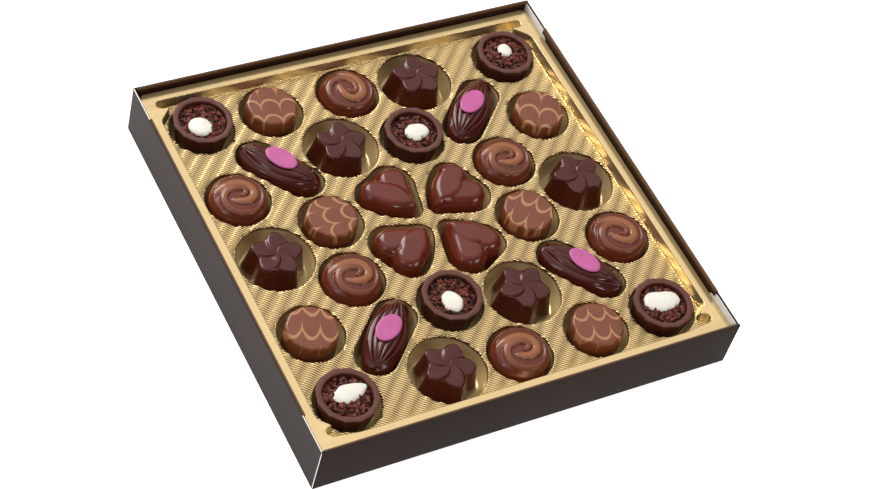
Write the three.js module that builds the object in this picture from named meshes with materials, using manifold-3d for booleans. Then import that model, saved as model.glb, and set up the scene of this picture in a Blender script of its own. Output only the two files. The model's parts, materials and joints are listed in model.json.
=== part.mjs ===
// Box of chocolate pralines: a shallow folded card box, a thin formed gold tray with a pocket
// for each praline, and six kinds of praline. Millimetres, +Z up. The origin is the middle of
// the box's underside, X runs along the front wall and Y towards the back wall.

import * as THREE from 'three';
import { mergeVertices } from 'three/addons/utils/BufferGeometryUtils.js';
import Module from 'manifold-3d';

const wasm = await Module();
wasm.setup();

// ---------------------------------------------------------------- driving dimensions

const BOX_SIDE = 225;
const BOX_HEIGHT = 30;
const PLY = 0.8; // one layer of card; the walls are rolled over and have two
const LINING_HALF = 91; // side walls: the inner layer's half length at the top fold
const LINING_TAPER = 1; // and how much shorter each end gets per millimetre downwards

const GAP = 0.3; // free space between neighbouring pieces
const RIM_HEIGHT = 25; // tray: top of the flat rim
const FIELD_HEIGHT = 19.5; // tray: the sunken field between the pockets
const POCKET_FLOOR = 7.5;
const SHEET = 0.6; // thickness of the formed sheet
const RIM_CORNER = 2.5;
const WELL_HALF = 105; // half width of the sunken field
const WELL_DRAFT = 0.99; // the field is this much smaller than the well's mouth
const CUT_START = 92.3; // where the well's corners are cut off at 45 degrees
const SLOT_END = 104; // the slots that run on past the cut corners
const BACK_SLOT = { low: 99.6, high: 105 };
const FRONT_SLOT = { low: 97.8, high: 103.4 };
const SLOT_BLEND = 88; // from here on the slot's outer edge is the well's edge

const ROUND_POCKET = 16.6; // pocket radii at the field
const STAR_POCKET = 19.5;
const BOAT_POCKET = { half: 24, radius: 11 };
const POCKET_DRAFT = 2.1; // how much narrower a pocket is at its floor

// A leaning heart: a tip and two lobes, each a disc at x, y with radius r. The edge from the
// left lobe to the tip bulges, the others are straight.
const HEART_POCKET = {
  tip: { x: 8.6, y: -11.9, r: 6 },
  right: { x: 5.8, y: 5.6, r: 12.2 },
  left: { x: -5.9, y: 1, r: 10.4 },
  bulge: 1.8,
};
const HEART = {
  tip: { x: 8.3, y: -11.5, r: 3.2 },
  right: { x: 6.8, y: 6.4, r: 8.4 },
  left: { x: -6, y: 0.6, r: 7.5 },
  bulge: 1.8,
};
// The heart's levels: height and share of the outline.
const HEART_LEVELS = [[0, 0.99], [11, 0.94], [14.6, 0.84], [16.5, 0.64], [17.2, 0.34]];

const CUP = { base: 12.2, rim: 15.35, bore: 11.75, height: 17.6, hollow: 12.4, facets: 12 };
const CRUMB_TOP = 15.3; // mean height of the crumbs in a cup
const CRUMB_RINGS = 5;
const CRUMB_BUMP = 0.75;
const CREAM_TOP = 17.5;
const CREAM_DEPTH = 2.8;

// The round praline with the combed lines: radius and height from the foot to the crown.
const ROUND_PROFILE = [[0, 0], [13.2, 0], [13.6, 1], [13.6, 12.2], [13, 15], [11.6, 16.4], [0, 16.8]];
const SWIRL = { radius: 14.9, turns: 1.75, ridge: 0.6, crown: 0.3 };
// The swirl's rings: share of the radius and height.
const SWIRL_LEVELS = [
  [0.92, 0], [1, 8], [0.95, 12.2], [0.83, 14.8], [0.65, 16.1], [0.46, 16.9], [0.28, 17.2], [0.13, 17.2],
];
const STAR = { base: 16.1, baseValley: 12.9, top: 12.2, topValley: 8.9, height: 17.6 };
const BOAT = { half: 21.2, width: 8.8, height: 16.4 };
const DISC = { half: 8.7, width: 5.45, thick: 0.9 };

const FACETS = 18; // sides of a round praline

const DEG = Math.PI / 180;

// ---------------------------------------------------------------- materials

const finish = (color, roughness, metalness = 0) =>
  new THREE.MeshStandardMaterial({ color, roughness, metalness });

const CARD = finish(0x3a2e2a, 0.6);
const GOLD = finish(0xd8bb7c, 0.3, 1);
const MILK = finish(0x7a4c3c, 0.35);
const DARK = finish(0x45231d, 0.25);
const RIM = finish(0x563630, 0.5);
const CRUMBS = finish(0x4a2821, 0.7);
const CREAM = finish(0xf3f1e4, 0.4);
const PINK = finish(0xc870a6, 0.45);

// ---------------------------------------------------------------- shape helpers

// A closed skin over rings of points that all have the same count, from the foot up.
// The first and last ring are closed by fans round their middle, the last raised by crown.
function loft(rings, crown = 0) {
  const count = rings[0].length;
  const points = rings.flat();
  const middle = (ring) => ring.reduce((sum, p) => sum.add(p), new THREE.Vector3()).divideScalar(count);
  const foot = points.push(middle(rings[0])) - 1;
  const top = points.push(middle(rings.at(-1)).add(new THREE.Vector3(0, 0, crown))) - 1;
  const faces = [];
  for (let i = 0; i < count; i += 1) {
    const j = (i + 1) % count;
    faces.push(foot, j, i);
    for (let k = 0; k < rings.length - 1; k += 1) {
      const low = k * count;
      const high = low + count;
      faces.push(low + i, low + j, high + j, low + i, high + j, high + i);
    }
    const last = (rings.length - 1) * count;
    faces.push(last + i, last + j, top);
  }
  const geometry = new THREE.BufferGeometry().setFromPoints(points);
  geometry.setIndex(faces);
  return geometry;
}

// A ring of count points at height z, where radius is a number or a function of the angle.
function ring(count, z, radius, start = 0) {
  return Array.from({ length: count }, (_, i) => {
    const angle = start + (2 * Math.PI * i) / count;
    const r = typeof radius === 'function' ? radius(angle) : radius;
    return new THREE.Vector3(r * Math.cos(angle), r * Math.sin(angle), z);
  });
}

// An outline of flat points, scaled and lifted to height z.
const lift = (outline, z, scaleX = 1, scaleY = scaleX) =>
  outline.map((p) => new THREE.Vector3(p.x * scaleX, p.y * scaleY, z));

function toManifold(geometry) {
  const bare = new THREE.BufferGeometry();
  bare.setAttribute('position', geometry.getAttribute('position'));
  bare.setIndex(geometry.getIndex());
  const merged = mergeVertices(bare, 1e-4);
  const vertProperties = Float32Array.from(merged.getAttribute('position').array);
  const triVerts = Uint32Array.from(merged.getIndex().array);
  return new wasm.Manifold(new wasm.Mesh({ numProp: 3, vertProperties, triVerts }));
}

function toGeometry(manifold) {
  const mesh = manifold.getMesh();
  const geometry = new THREE.BufferGeometry();
  geometry.setAttribute('position', new THREE.BufferAttribute(mesh.vertProperties, 3));
  geometry.setIndex(new THREE.BufferAttribute(mesh.triVerts, 1));
  return geometry;
}

function block(low, high) {
  const size = high.map((value, axis) => value - low[axis]);
  const middle = high.map((value, axis) => (value + low[axis]) / 2);
  return toManifold(new THREE.BoxGeometry(...size).translate(...middle));
}

function random(seed) {
  let state = seed;
  return () => {
    state = (state * 16807) % 2147483647;
    return state / 2147483647;
  };
}

// ---------------------------------------------------------------- card box

// A lining left out: what the side wall lacks of its inner layer at one end. Seen along X it is
// a wedge, because the inner layer tapers from the fold down.
function liningCut(sideX, sideY) {
  const inner = BOX_SIDE / 2 - 2 * PLY;
  const drop = BOX_HEIGHT - PLY;
  const wedge = new THREE.Shape([
    new THREE.Vector2(LINING_HALF, BOX_HEIGHT + 1),
    new THREE.Vector2(LINING_HALF, BOX_HEIGHT),
    new THREE.Vector2(LINING_HALF - LINING_TAPER * drop, PLY),
    new THREE.Vector2(inner, PLY),
    new THREE.Vector2(inner, BOX_HEIGHT + 1),
  ]);
  const cut = new THREE.ExtrudeGeometry(wedge, { depth: PLY + 1, bevelEnabled: false });
  cut.rotateX(Math.PI / 2).rotateZ(Math.PI / 2).translate(inner - 1, 0, 0);
  const solid = toManifold(cut);
  const mirroredX = sideX < 0 ? solid.mirror([1, 0, 0]) : solid;
  return sideY < 0 ? mirroredX.mirror([0, 1, 0]) : mirroredX;
}

function cardBox() {
  const half = BOX_SIDE / 2;
  const inner = half - 2 * PLY;
  let box = block([-half, -half, 0], [half, half, BOX_HEIGHT]);
  box = box.subtract(block([-inner, -inner, PLY], [inner, inner, BOX_HEIGHT + 1]));
  for (const sideX of [-1, 1]) {
    for (const sideY of [-1, 1]) box = box.subtract(liningCut(sideX, sideY));
  }
  return toGeometry(box);
}

// ---------------------------------------------------------------- outlines of the pockets

const circle = (radius, steps) =>
  ring(steps, 0, radius, Math.PI / steps).map((p) => new THREE.Vector2(p.x, p.y));

const arc = (disc, from, to, steps) => Array.from({ length: steps + 1 }, (_, i) => {
  const angle = (from + ((to - from) * i) / steps) * DEG;
  return new THREE.Vector2(disc.x + disc.r * Math.cos(angle), disc.y + disc.r * Math.sin(angle));
});

const stadium = (half, radius, steps) => [
  ...arc({ x: half - radius, y: 0, r: radius }, -90, 90, steps),
  ...arc({ x: radius - half, y: 0, r: radius }, 90, 270, steps),
];

// The heart's outline from the tip round both lobes. The lobes' arcs meet at the angles in
// notch, so a pocket's are joined by a straight edge and a praline's cross in a deep notch.
function heart({ tip, right, left, bulge }, notch, steps) {
  const points = [
    ...arc(tip, -116, -9, Math.round(steps / 6)),
    ...arc(right, -9, notch[0], Math.round(steps / 3)),
    ...arc(left, notch[1], 216, Math.round(steps / 4)),
  ];
  const from = points.at(-1);
  const to = points[0];
  const out = new THREE.Vector2(to.y - from.y, from.x - to.x).normalize().multiplyScalar(2 * bulge);
  const edge = new THREE.QuadraticBezierCurve(from, from.clone().add(to).divideScalar(2).add(out), to);
  return [...points, ...edge.getPoints(3).slice(1, 3)];
}

const grow = (shape, by) => ({
  ...shape,
  tip: { ...shape.tip, r: shape.tip.r + by },
  right: { ...shape.right, r: shape.right.r + by },
  left: { ...shape.left, r: shape.left.r + by },
});

// ---------------------------------------------------------------- formed tray

// The well's mouth: a square with its corners cut off, and a slot past each cut.
function wellOutline() {
  const quarter = ({ low, high }) => {
    const bend = (high - low) / 2;
    return [
      new THREE.Vector2(WELL_HALF, CUT_START),
      new THREE.Vector2(WELL_HALF - (low - CUT_START), low),
      ...arc({ x: SLOT_END - bend, y: low + bend, r: bend }, -90, 90, 4),
      new THREE.Vector2(SLOT_BLEND, WELL_HALF),
    ];
  };
  const flip = (points, x, y) => points.map((p) => new THREE.Vector2(x * p.x, y * p.y));
  const back = quarter(BACK_SLOT);
  const front = quarter(FRONT_SLOT);
  return [
    ...back,
    ...flip(back, -1, 1).reverse(),
    ...flip(front, -1, -1),
    ...flip(front, 1, -1).reverse(),
  ];
}

function rimOutline(inset) {
  const half = BOX_SIDE / 2 - 2 * PLY - GAP - inset;
  const corner = RIM_CORNER - inset;
  const shape = new THREE.Shape();
  shape.absarc(half - corner, half - corner, corner, 0, Math.PI / 2, false);
  shape.absarc(corner - half, half - corner, corner, Math.PI / 2, Math.PI, false);
  shape.absarc(corner - half, corner - half, corner, Math.PI, 1.5 * Math.PI, false);
  shape.absarc(half - corner, corner - half, corner, 1.5 * Math.PI, 2 * Math.PI, false);
  return shape.getPoints(3);
}

const prism = (outline, low, high, shrink = 1) =>
  toManifold(loft([lift(outline, low, shrink), lift(outline, high)]));

// A pocket's hollow, or its outside when it is grown by the sheet's thickness.
function pocketSolid(place, grown) {
  const outline = {
    cup: (by) => circle(ROUND_POCKET + by, 12),
    round: (by) => circle(ROUND_POCKET + by, 12),
    swirl: (by) => circle(ROUND_POCKET + by, 12),
    star: (by) => circle(STAR_POCKET + by, 14),
    boat: (by) => stadium(BOAT_POCKET.half + by, BOAT_POCKET.radius + by, 5),
    heart: (by) => heart(grow(HEART_POCKET, by), [111, 111], 18),
  }[place.kind];
  const floor = lift(outline(grown - POCKET_DRAFT), POCKET_FLOOR - grown);
  const mouth = outline(grown);
  const rings = grown > 0
    ? [floor, lift(mouth, FIELD_HEIGHT - SHEET / 2)]
    : [floor, lift(mouth, FIELD_HEIGHT), lift(mouth, FIELD_HEIGHT + 1)];
  const geometry = loft(rings);
  geometry.rotateZ(place.pocketTurn).translate(place.x, place.y, 0);
  return toManifold(geometry);
}

function tray(places) {
  const bottom = PLY + GAP;
  const well = wellOutline();
  const wide = (WELL_HALF + SHEET) / WELL_HALF;
  const cap = prism(rimOutline(0), bottom, RIM_HEIGHT);
  const under = prism(rimOutline(SHEET), 0, RIM_HEIGHT - SHEET);
  const wellBody = toManifold(loft([
    lift(well, FIELD_HEIGHT - SHEET, wide * WELL_DRAFT),
    lift(well, RIM_HEIGHT - SHEET / 2, wide),
  ]));
  const mouth = toManifold(loft([
    lift(well, FIELD_HEIGHT, WELL_DRAFT),
    lift(well, RIM_HEIGHT),
    lift(well, RIM_HEIGHT + 1),
  ]));
  const outsides = wasm.Manifold.union(places.map((place) => pocketSolid(place, SHEET)));
  const hollows = wasm.Manifold.union(places.map((place) => pocketSolid(place, 0)));
  return toGeometry(cap.subtract(under).add(wellBody).subtract(mouth).add(outsides).subtract(hollows));
}

// ---------------------------------------------------------------- pralines, each on z = 0

// Faceted cup: the wall leans outwards, the rim is cut flat and the bore is round.
function cupShell() {
  const steps = 2 * CUP.facets;
  const facet = Math.cos(Math.PI / CUP.facets) - 0.012;
  const wavy = (radius) => (angle) => radius * (Math.round((angle * steps) / (2 * Math.PI)) % 2 ? facet : 1);
  return loft([
    ring(steps, 0, wavy(CUP.base)),
    ring(steps, CUP.height, wavy(CUP.rim)),
    ring(steps, CUP.height, CUP.bore),
    ring(steps, CUP.hollow, CUP.bore - 0.5),
  ]);
}

// Crumbs: a disc of rings with 6, 12, 18 and so on points, each point at its own height.
function crumbs(seed, cream) {
  const draw = random(seed);
  const radius = CUP.bore - 0.5 - GAP;
  const floor = CUP.hollow + GAP;
  const points = [new THREE.Vector3(0, 0, CRUMB_TOP)];
  const start = [0];
  for (let k = 1; k <= CRUMB_RINGS; k += 1) {
    start.push(points.length);
    const r = (radius * k) / CRUMB_RINGS;
    for (const p of ring(6 * k, CRUMB_TOP, r)) {
      const edge = k === CRUMB_RINGS;
      p.z += CRUMB_BUMP * (2 * draw() - 1) - (edge ? CRUMB_BUMP : 0);
      if (!edge) p.add(new THREE.Vector3(draw() - 0.5, draw() - 0.5, 0).multiplyScalar(0.7));
      points.push(p);
    }
  }
  const faces = [];
  for (let k = 1; k <= CRUMB_RINGS; k += 1) {
    for (let side = 0; side < 6; side += 1) {
      for (let i = 0; i < k; i += 1) {
        const outer = (n) => start[k] + ((side * k + n) % (6 * k));
        const inner = (n) => (k === 1 ? 0 : start[k - 1] + ((side * (k - 1) + n) % (6 * (k - 1))));
        faces.push(outer(i), outer(i + 1), inner(i));
        if (i < k - 1) faces.push(inner(i), outer(i + 1), inner(i + 1));
      }
    }
  }
  const rimStart = start[CRUMB_RINGS];
  const rimCount = 6 * CRUMB_RINGS;
  const base = points.length;
  for (const p of ring(rimCount, floor, radius)) points.push(p);
  const foot = points.push(new THREE.Vector3(0, 0, floor)) - 1;
  for (let i = 0; i < rimCount; i += 1) {
    const j = (i + 1) % rimCount;
    faces.push(base + i, base + j, rimStart + j, base + i, rimStart + j, rimStart + i);
    faces.push(foot, base + j, base + i);
  }
  const geometry = new THREE.BufferGeometry().setFromPoints(points);
  geometry.setIndex(faces);
  return toGeometry(toManifold(geometry).subtract(toManifold(creamBlob(cream, GAP))));
}

// Cream: a thick drop with an oval foot, drawn out to a tail on one side.
function creamBlob(cream, grown = 0) {
  const steps = 12;
  const tail = cream.tail ?? 0;
  const outline = (scale) => ring(steps, 0, (angle) => {
    const oval = 1 / Math.hypot(Math.cos(angle) / cream.length, Math.sin(angle) / cream.width);
    return scale * (oval / 2 + tail * Math.max(0, Math.cos(angle)) ** 6) + grown;
  });
  const level = (scale, z) => outline(scale).map((p) => p.setZ(z));
  const foot = CREAM_TOP - CREAM_DEPTH - grown;
  const geometry = loft([
    level(0.9, foot),
    level(1, CREAM_TOP - 0.5 * CREAM_DEPTH),
    level(0.75, CREAM_TOP - 0.12 * CREAM_DEPTH + grown),
  ], 0.12 * CREAM_DEPTH);
  return geometry.rotateZ(cream.turn).translate(cream.x, cream.y, 0);
}

function combedRound() {
  const profile = ROUND_PROFILE.map(([r, z]) => new THREE.Vector2(r, z));
  const lathe = new THREE.LatheGeometry(profile, FACETS);
  return toGeometry(toManifold(lathe.rotateX(Math.PI / 2)));
}

// Domed praline with one raised band that winds in to the crown.
function swirl() {
  const rings = SWIRL_LEVELS.map(([share, z], k) => {
    const points = ring(FACETS, z, share * SWIRL.radius);
    if (k > 2) {
      points.forEach((p) => {
        const around = Math.atan2(p.y, p.x) / (2 * Math.PI);
        p.z += SWIRL.ridge * Math.cos(2 * Math.PI * (1.6 * SWIRL.turns * share + around)) - 0.2;
      });
    }
    return points;
  });
  return loft(rings, SWIRL.crown);
}

// Five-pointed star, puffed on top, whose sides flare to a wider foot.
function star() {
  const steps = 20;
  const arm = (tip, valley) => (angle) => {
    const share = 0.5 + 0.5 * Math.cos(5 * angle);
    return valley + (tip - valley) * share ** 1.3;
  };
  const twist = (points, z, by) => points.map((p) => p.applyAxisAngle(new THREE.Vector3(0, 0, 1), by).setZ(z));
  const foot = arm(STAR.base, STAR.baseValley);
  const edge = arm(STAR.top, STAR.topValley);
  return loft([
    ring(steps, 0, foot),
    ring(steps, STAR.height - 2.6, (a) => edge(a) + 0.7),
    ring(steps, STAR.height - 0.7, edge),
    ring(steps, STAR.height, (a) => 0.86 * edge(a)),
    twist(ring(steps, 0, (a) => 0.4 * edge(a)), STAR.height - 0.3, 0.25),
  ], -0.5);
}

function heartBody() {
  const outline = heart(HEART, [179, 54], 18);
  return loft(HEART_LEVELS.map(([z, share]) => lift(outline, z, share)));
}

// Boat: a long oval, highest in the middle, whose ridges run from tip to tip.
function boatBody() {
  const hull = ([half, width, side, tip]) => ring(20, 0, 1).map((p) => {
    const z = side + (tip - side) * p.x ** 4;
    const y = width * Math.sign(p.y) * Math.abs(p.y) ** 0.85;
    return new THREE.Vector3(half * p.x, y, z);
  });
  const { half, width, height } = BOAT;
  return loft([
    [half - 0.9, width - 0.7, 0, 0],
    [half, width, 7.6, 10.6],
    [half - 0.8, width - 0.9, 10.6, 12.6],
    [half - 2, width - 1.1, 12.8, 13.8],
    [half - 4.6, width - 2.3, 14.9, 15],
    [half - 8.2, width - 3.2, height, height],
  ].map(hull));
}

// The disc on a boat lies a little off its middle and turned against it.
function boatDisc({ along, across, turn }) {
  const steps = 14;
  const oval = (share, z) => ring(steps, 0, 1).map((p) => new THREE.Vector3(
    DISC.half * share * p.x, DISC.width * share * p.y, z,
  ));
  const low = BOAT.height + GAP;
  const disc = loft([oval(1, low), oval(0.84, low + DISC.thick)], 0.08);
  return disc.rotateZ(turn * DEG).translate(along, across, 0);
}

// ---------------------------------------------------------------- where everything lies

// One half of the tray. The other half is the same pockets after a half turn. Each entry holds
// the praline of this place and of its twin: how far it is turned and off the pocket's middle.
const HALF = [
  { kind: 'cup', x: -85.5, y: 86.2, off: [0.3, 0.9], twinOff: [-0.5, 0.4] },
  { kind: 'round', x: -47.8, y: 86.3, turns: [0, 180], off: [0.2, 0.6] },
  { kind: 'swirl', x: -5, y: 87, turns: [-70, 0] },
  { kind: 'star', x: 32.6, y: 84.2, turns: [8, 51], off: [0.4, 0.2], twinOff: [-0.5, -0.3] },
  { kind: 'cup', x: 85.4, y: 85.5, off: [0.4, -0.3], twinOff: [-0.6, 0.4] },
  {
    kind: 'boat', x: 52.2, y: 57.6, pocket: 44, turns: [45, 48], off: [0.2, 0.8], twinOff: [0.5, 0.5],
    discs: [{ along: 0.8, across: 0.5, turn: -10 }, { along: 0.6, across: 0.1, turn: -13 }],
  },
  { kind: 'cup', x: 14, y: 49.7, off: [0.7, 0.8], twinOff: [0.5, 0.8] },
  { kind: 'star', x: -23.5, y: 54.8, turns: [3, 37], off: [-0.5, -0.2], twinOff: [0, 0.2] },
  {
    kind: 'boat', x: -58.6, y: 51, pocket: 128, turns: [130, 129], off: [0.1, 1], twinOff: [0.5, 0.4],
    discs: [{ along: 0.6, across: -1.5, turn: -7 }, { along: -0.1, across: -0.7, turn: -12 }],
  },
  { kind: 'swirl', x: -86.3, y: 39.1, turns: [0, -35] },
  { kind: 'round', x: 85.4, y: 45, turns: [-15, 180] },
  { kind: 'star', x: -83.5, y: 0.5, turns: [0, 25], off: [-0.1, -0.4], twinOff: [0.4, 0.3] },
  { kind: 'round', x: -48.3, y: 12.9, turns: [90, 125] },
  { kind: 'heart', x: -14.75, y: 20.15, pocket: 0, turns: [0, 180] },
  { kind: 'heart', x: 20.1, y: 14.8, pocket: -92.5, turns: [-92.5, 87.5] },
  { kind: 'swirl', x: 53.2, y: 22, turns: [0, 0] },
];

// The cream in each cup, in the order of the cups below.
const CREAMS = [
  { x: -2.5, y: -3, length: 12.2, width: 11.4, turn: -50 * DEG },
  { x: -1.3, y: 2, length: 15.6, width: 11.4, turn: -12 * DEG, tail: 3.4 },
  { x: 0.9, y: 2, length: 9.2, width: 7.1, turn: 90 * DEG },
  { x: 0, y: 1.3, length: 13.2, width: 9.8, turn: 6 * DEG, tail: 3 },
  { x: 1.2, y: -0.6, length: 13.2, width: 10, turn: 0 },
  { x: -1.3, y: -3, length: 12, width: 10.2, turn: 90 * DEG },
];

const places = HALF.flatMap((entry) => {
  const { kind, x, y, pocket = 0, turns = [0, 0], off = [0, 0], twinOff = [0, 0], discs = [] } = entry;
  return [
    { kind, x, y, pocketTurn: pocket * DEG, turn: turns[0] * DEG, off, disc: discs[0] },
    { kind, x: -x, y: -y, pocketTurn: (pocket + 180) * DEG, turn: turns[1] * DEG, off: twinOff, disc: discs[1] },
  ];
});

// Each kind's pieces: name ending, shape and material.
const PIECES = {
  cup: (n) => [
    ['shell', cupShell(), RIM],
    ['crumbs', crumbs(n + 11, CREAMS[n]), CRUMBS],
    ['cream', creamBlob(CREAMS[n]), CREAM],
  ],
  round: () => [['', combedRound(), MILK]],
  swirl: () => [['', swirl(), MILK]],
  star: () => [['', star(), DARK]],
  heart: () => [['', heartBody(), MILK]],
  boat: (n, place) => [['body', boatBody(), DARK], ['disc', boatDisc(place.disc), PINK]],
};

const group = new THREE.Group();

function addMesh(parent, name, geometry, material) {
  const mesh = new THREE.Mesh(geometry, material);
  mesh.name = name;
  parent.add(mesh);
  return mesh;
}

addMesh(group, 'box', cardBox(), CARD);
addMesh(group, 'tray', tray(places), GOLD);

const made = {};
for (const place of places) {
  const index = made[place.kind] ?? 0;
  made[place.kind] = index + 1;
  const praline = new THREE.Group();
  praline.position.set(place.x + place.off[0], place.y + place.off[1], POCKET_FLOOR + GAP);
  praline.rotation.z = place.turn;
  for (const [ending, geometry, material] of PIECES[place.kind](index, place)) {
    const name = [place.kind, index + 1, ending].filter((word) => word !== '').join('_');
    addMesh(praline, name, geometry, material);
  }
  group.add(praline);
}

export default group;
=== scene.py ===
# %% [markdown]
# # A box of chocolate pralines
#
# A shallow card box holds a thin gold tray, and the tray's pockets hold six kinds of praline:
# open cups with crumbs and cream, rounds with combed lines, swirls, stars, boats with a pink
# disc, and leaning hearts. The packed model gives every piece its place and size. This file
# models the fine surfaces over it: each plain solid is replaced by a finer mesh of the same
# form, and each mesh gets a finish made of shader nodes.
#
# Lengths are in millimetres until a mesh is made, because that is how such a box is drawn.

# %% Load the frame
import json
import math

import bmesh
import bpy
import numpy as np
from mathutils import Matrix
from mathutils import Vector
from mathutils.geometry import delaunay_2d_cdt

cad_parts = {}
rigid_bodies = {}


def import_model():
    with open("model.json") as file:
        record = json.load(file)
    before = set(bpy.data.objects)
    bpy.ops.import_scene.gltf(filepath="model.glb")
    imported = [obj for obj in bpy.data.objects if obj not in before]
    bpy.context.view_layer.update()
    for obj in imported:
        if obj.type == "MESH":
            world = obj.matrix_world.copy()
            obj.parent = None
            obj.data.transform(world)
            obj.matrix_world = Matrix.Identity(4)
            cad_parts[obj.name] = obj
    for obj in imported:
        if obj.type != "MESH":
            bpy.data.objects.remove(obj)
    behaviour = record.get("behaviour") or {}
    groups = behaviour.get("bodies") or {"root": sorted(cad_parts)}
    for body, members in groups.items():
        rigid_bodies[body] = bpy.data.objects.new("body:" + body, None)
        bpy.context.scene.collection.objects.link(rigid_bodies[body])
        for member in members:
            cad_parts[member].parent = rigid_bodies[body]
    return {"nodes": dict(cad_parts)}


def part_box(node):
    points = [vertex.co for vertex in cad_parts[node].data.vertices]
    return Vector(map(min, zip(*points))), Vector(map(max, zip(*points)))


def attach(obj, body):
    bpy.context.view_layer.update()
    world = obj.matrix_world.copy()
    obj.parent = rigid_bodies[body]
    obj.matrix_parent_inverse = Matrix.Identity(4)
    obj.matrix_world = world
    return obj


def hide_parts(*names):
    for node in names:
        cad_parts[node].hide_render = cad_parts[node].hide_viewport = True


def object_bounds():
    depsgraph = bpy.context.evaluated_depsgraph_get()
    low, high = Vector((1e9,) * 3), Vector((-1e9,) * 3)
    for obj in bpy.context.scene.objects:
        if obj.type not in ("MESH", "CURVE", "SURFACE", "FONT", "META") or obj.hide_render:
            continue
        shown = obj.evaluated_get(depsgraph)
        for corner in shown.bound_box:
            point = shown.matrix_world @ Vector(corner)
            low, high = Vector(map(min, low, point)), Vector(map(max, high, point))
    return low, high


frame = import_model()
cad_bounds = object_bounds()
MM = 0.001
box_low = np.array(cad_bounds[0]) / MM
box_high = np.array(cad_bounds[1]) / MM
print("nodes in the frame:", len(frame["nodes"]))
print("box in mm:", (box_high - box_low).round(2))

# %% [markdown]
# ## Camera
#
# The camera looks down on the box at about 50 degrees, from in front and from the left, with a
# long lens, so the edges stay nearly parallel. It is rolled, so that the box stands askew in the
# picture. A camera made by aiming at a point keeps level, so the roll is added about its own axis.

# %% Camera
CAMERA_AT = Vector((-459.8, -554.8, 855.0)) * MM
CAMERA_AIM = Vector((-1.0, -10.5, 12.0)) * MM
CAMERA_ROLL = math.radians(17.635)
CAMERA_LENS = 93.12

camera_data = bpy.data.cameras.new("camera")
camera_data.lens = CAMERA_LENS
camera_data.sensor_width = 36
camera_data.clip_start = 0.05
camera = bpy.data.objects.new("camera", camera_data)
aim = (CAMERA_AIM - CAMERA_AT).to_track_quat("-Z", "Y").to_matrix()
camera.matrix_world = (aim @ Matrix.Rotation(CAMERA_ROLL, 3, "Z")).to_4x4()
camera.location = CAMERA_AT
bpy.context.scene.collection.objects.link(camera)
bpy.context.scene.camera = camera
print("camera is", round((CAMERA_AIM - CAMERA_AT).length, 3), "m from the box")

# %% [markdown]
# ## Light and floor
#
# A photo table has a white floor, which glows a little here, so shadows stay faint. One large soft
# panel above and behind gives the long pale sheen on chocolate. Two small ones, on the left and in
# front, draw bright marks on the sides that face the camera, and one at the front right is what the
# tray's back wall mirrors. The room is dark near the floor and bright overhead, and darker in front
# of the box than behind it, so the gold has both light and dark to mirror.

# %% Light and floor
# place in metres, width and height in metres, watts
PANELS = {
    "panel_back": ((-0.22, 1.1, 0.8), (0.65, 0.85), 13.5),
    "panel_left": ((-1.0, -0.15, 0.75), (0.2, 0.2), 0.7),
    "panel_front": ((-0.3, -1.1, 0.8), (0.2, 0.12), 1.3),
    "panel_right": ((0.65, -1.05, 0.75), (0.6, 0.35), 4.0),
}
# each fade: where it starts, where it ends, and the brightness at both
FADE_UPWARDS = (0.0, 1.0, 0.03, 1.42)
FADE_BACKWARDS = (-0.65, 0.45, 0.22, 1.12)
BACKWARDS = (-0.25, 0.97, 0.0)
FLOOR_SIZE = 6
FLOOR_GLOW = 0.62

for name, (at, size, watts) in PANELS.items():
    data = bpy.data.lights.new(name, "AREA")
    data.shape = "RECTANGLE"
    data.size, data.size_y = size
    data.energy = watts
    light = bpy.data.objects.new(name, data)
    light.location = at
    light.rotation_euler = (-Vector(at)).to_track_quat("-Z", "Y").to_euler()
    bpy.context.scene.collection.objects.link(light)

world = bpy.data.worlds.new("room")
bpy.context.scene.world = world
world.use_nodes = True
room = world.node_tree


def room_node(kind, **settings):
    made = room.nodes.new(kind)
    for key, setting in settings.items():
        setattr(made, key, setting)
    return made


def fade(socket, numbers):
    """A smooth ramp over what a socket of the room's nodes gives."""
    made = room_node("ShaderNodeMapRange", interpolation_type="SMOOTHSTEP")
    room.links.new(socket, made.inputs["Value"])
    for key, number in zip(("From Min", "From Max", "To Min", "To Max"), numbers):
        made.inputs[key].default_value = number
    return made.outputs[0]


facing = room_node("ShaderNodeTexCoord").outputs["Generated"]
apart = room_node("ShaderNodeSeparateXYZ")
room.links.new(facing, apart.inputs[0])
behind = room_node("ShaderNodeVectorMath", operation="DOT_PRODUCT")
behind.inputs[1].default_value = BACKWARDS
room.links.new(facing, behind.inputs[0])
both = room_node("ShaderNodeMath", operation="MULTIPLY")
room.links.new(fade(apart.outputs["Z"], FADE_UPWARDS), both.inputs[0])
room.links.new(fade(behind.outputs["Value"], FADE_BACKWARDS), both.inputs[1])
backdrop = room.nodes["Background"]
room.links.new(both.outputs[0], backdrop.inputs["Strength"])
backdrop.inputs["Color"].default_value = (1.0, 1.0, 1.0, 1)

bpy.ops.mesh.primitive_plane_add(size=FLOOR_SIZE)
floor = bpy.context.object
floor.name = "floor"
bpy.context.scene.view_settings.view_transform = "Standard"
print("lights:", list(PANELS))

# %% [markdown]
# ## Shader maths as arithmetic
#
# A finish is a small sum: a base colour, plus a pattern, times a mask. Written with nodes alone it
# is hard to read, so a small class wraps one socket and turns + - * / into Math nodes. The
# reflected forms let a number stand first, as in `1 - mask`. A second class holds one material and
# adds any other node by one method: type, then settings, then the values of its inputs.

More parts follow.
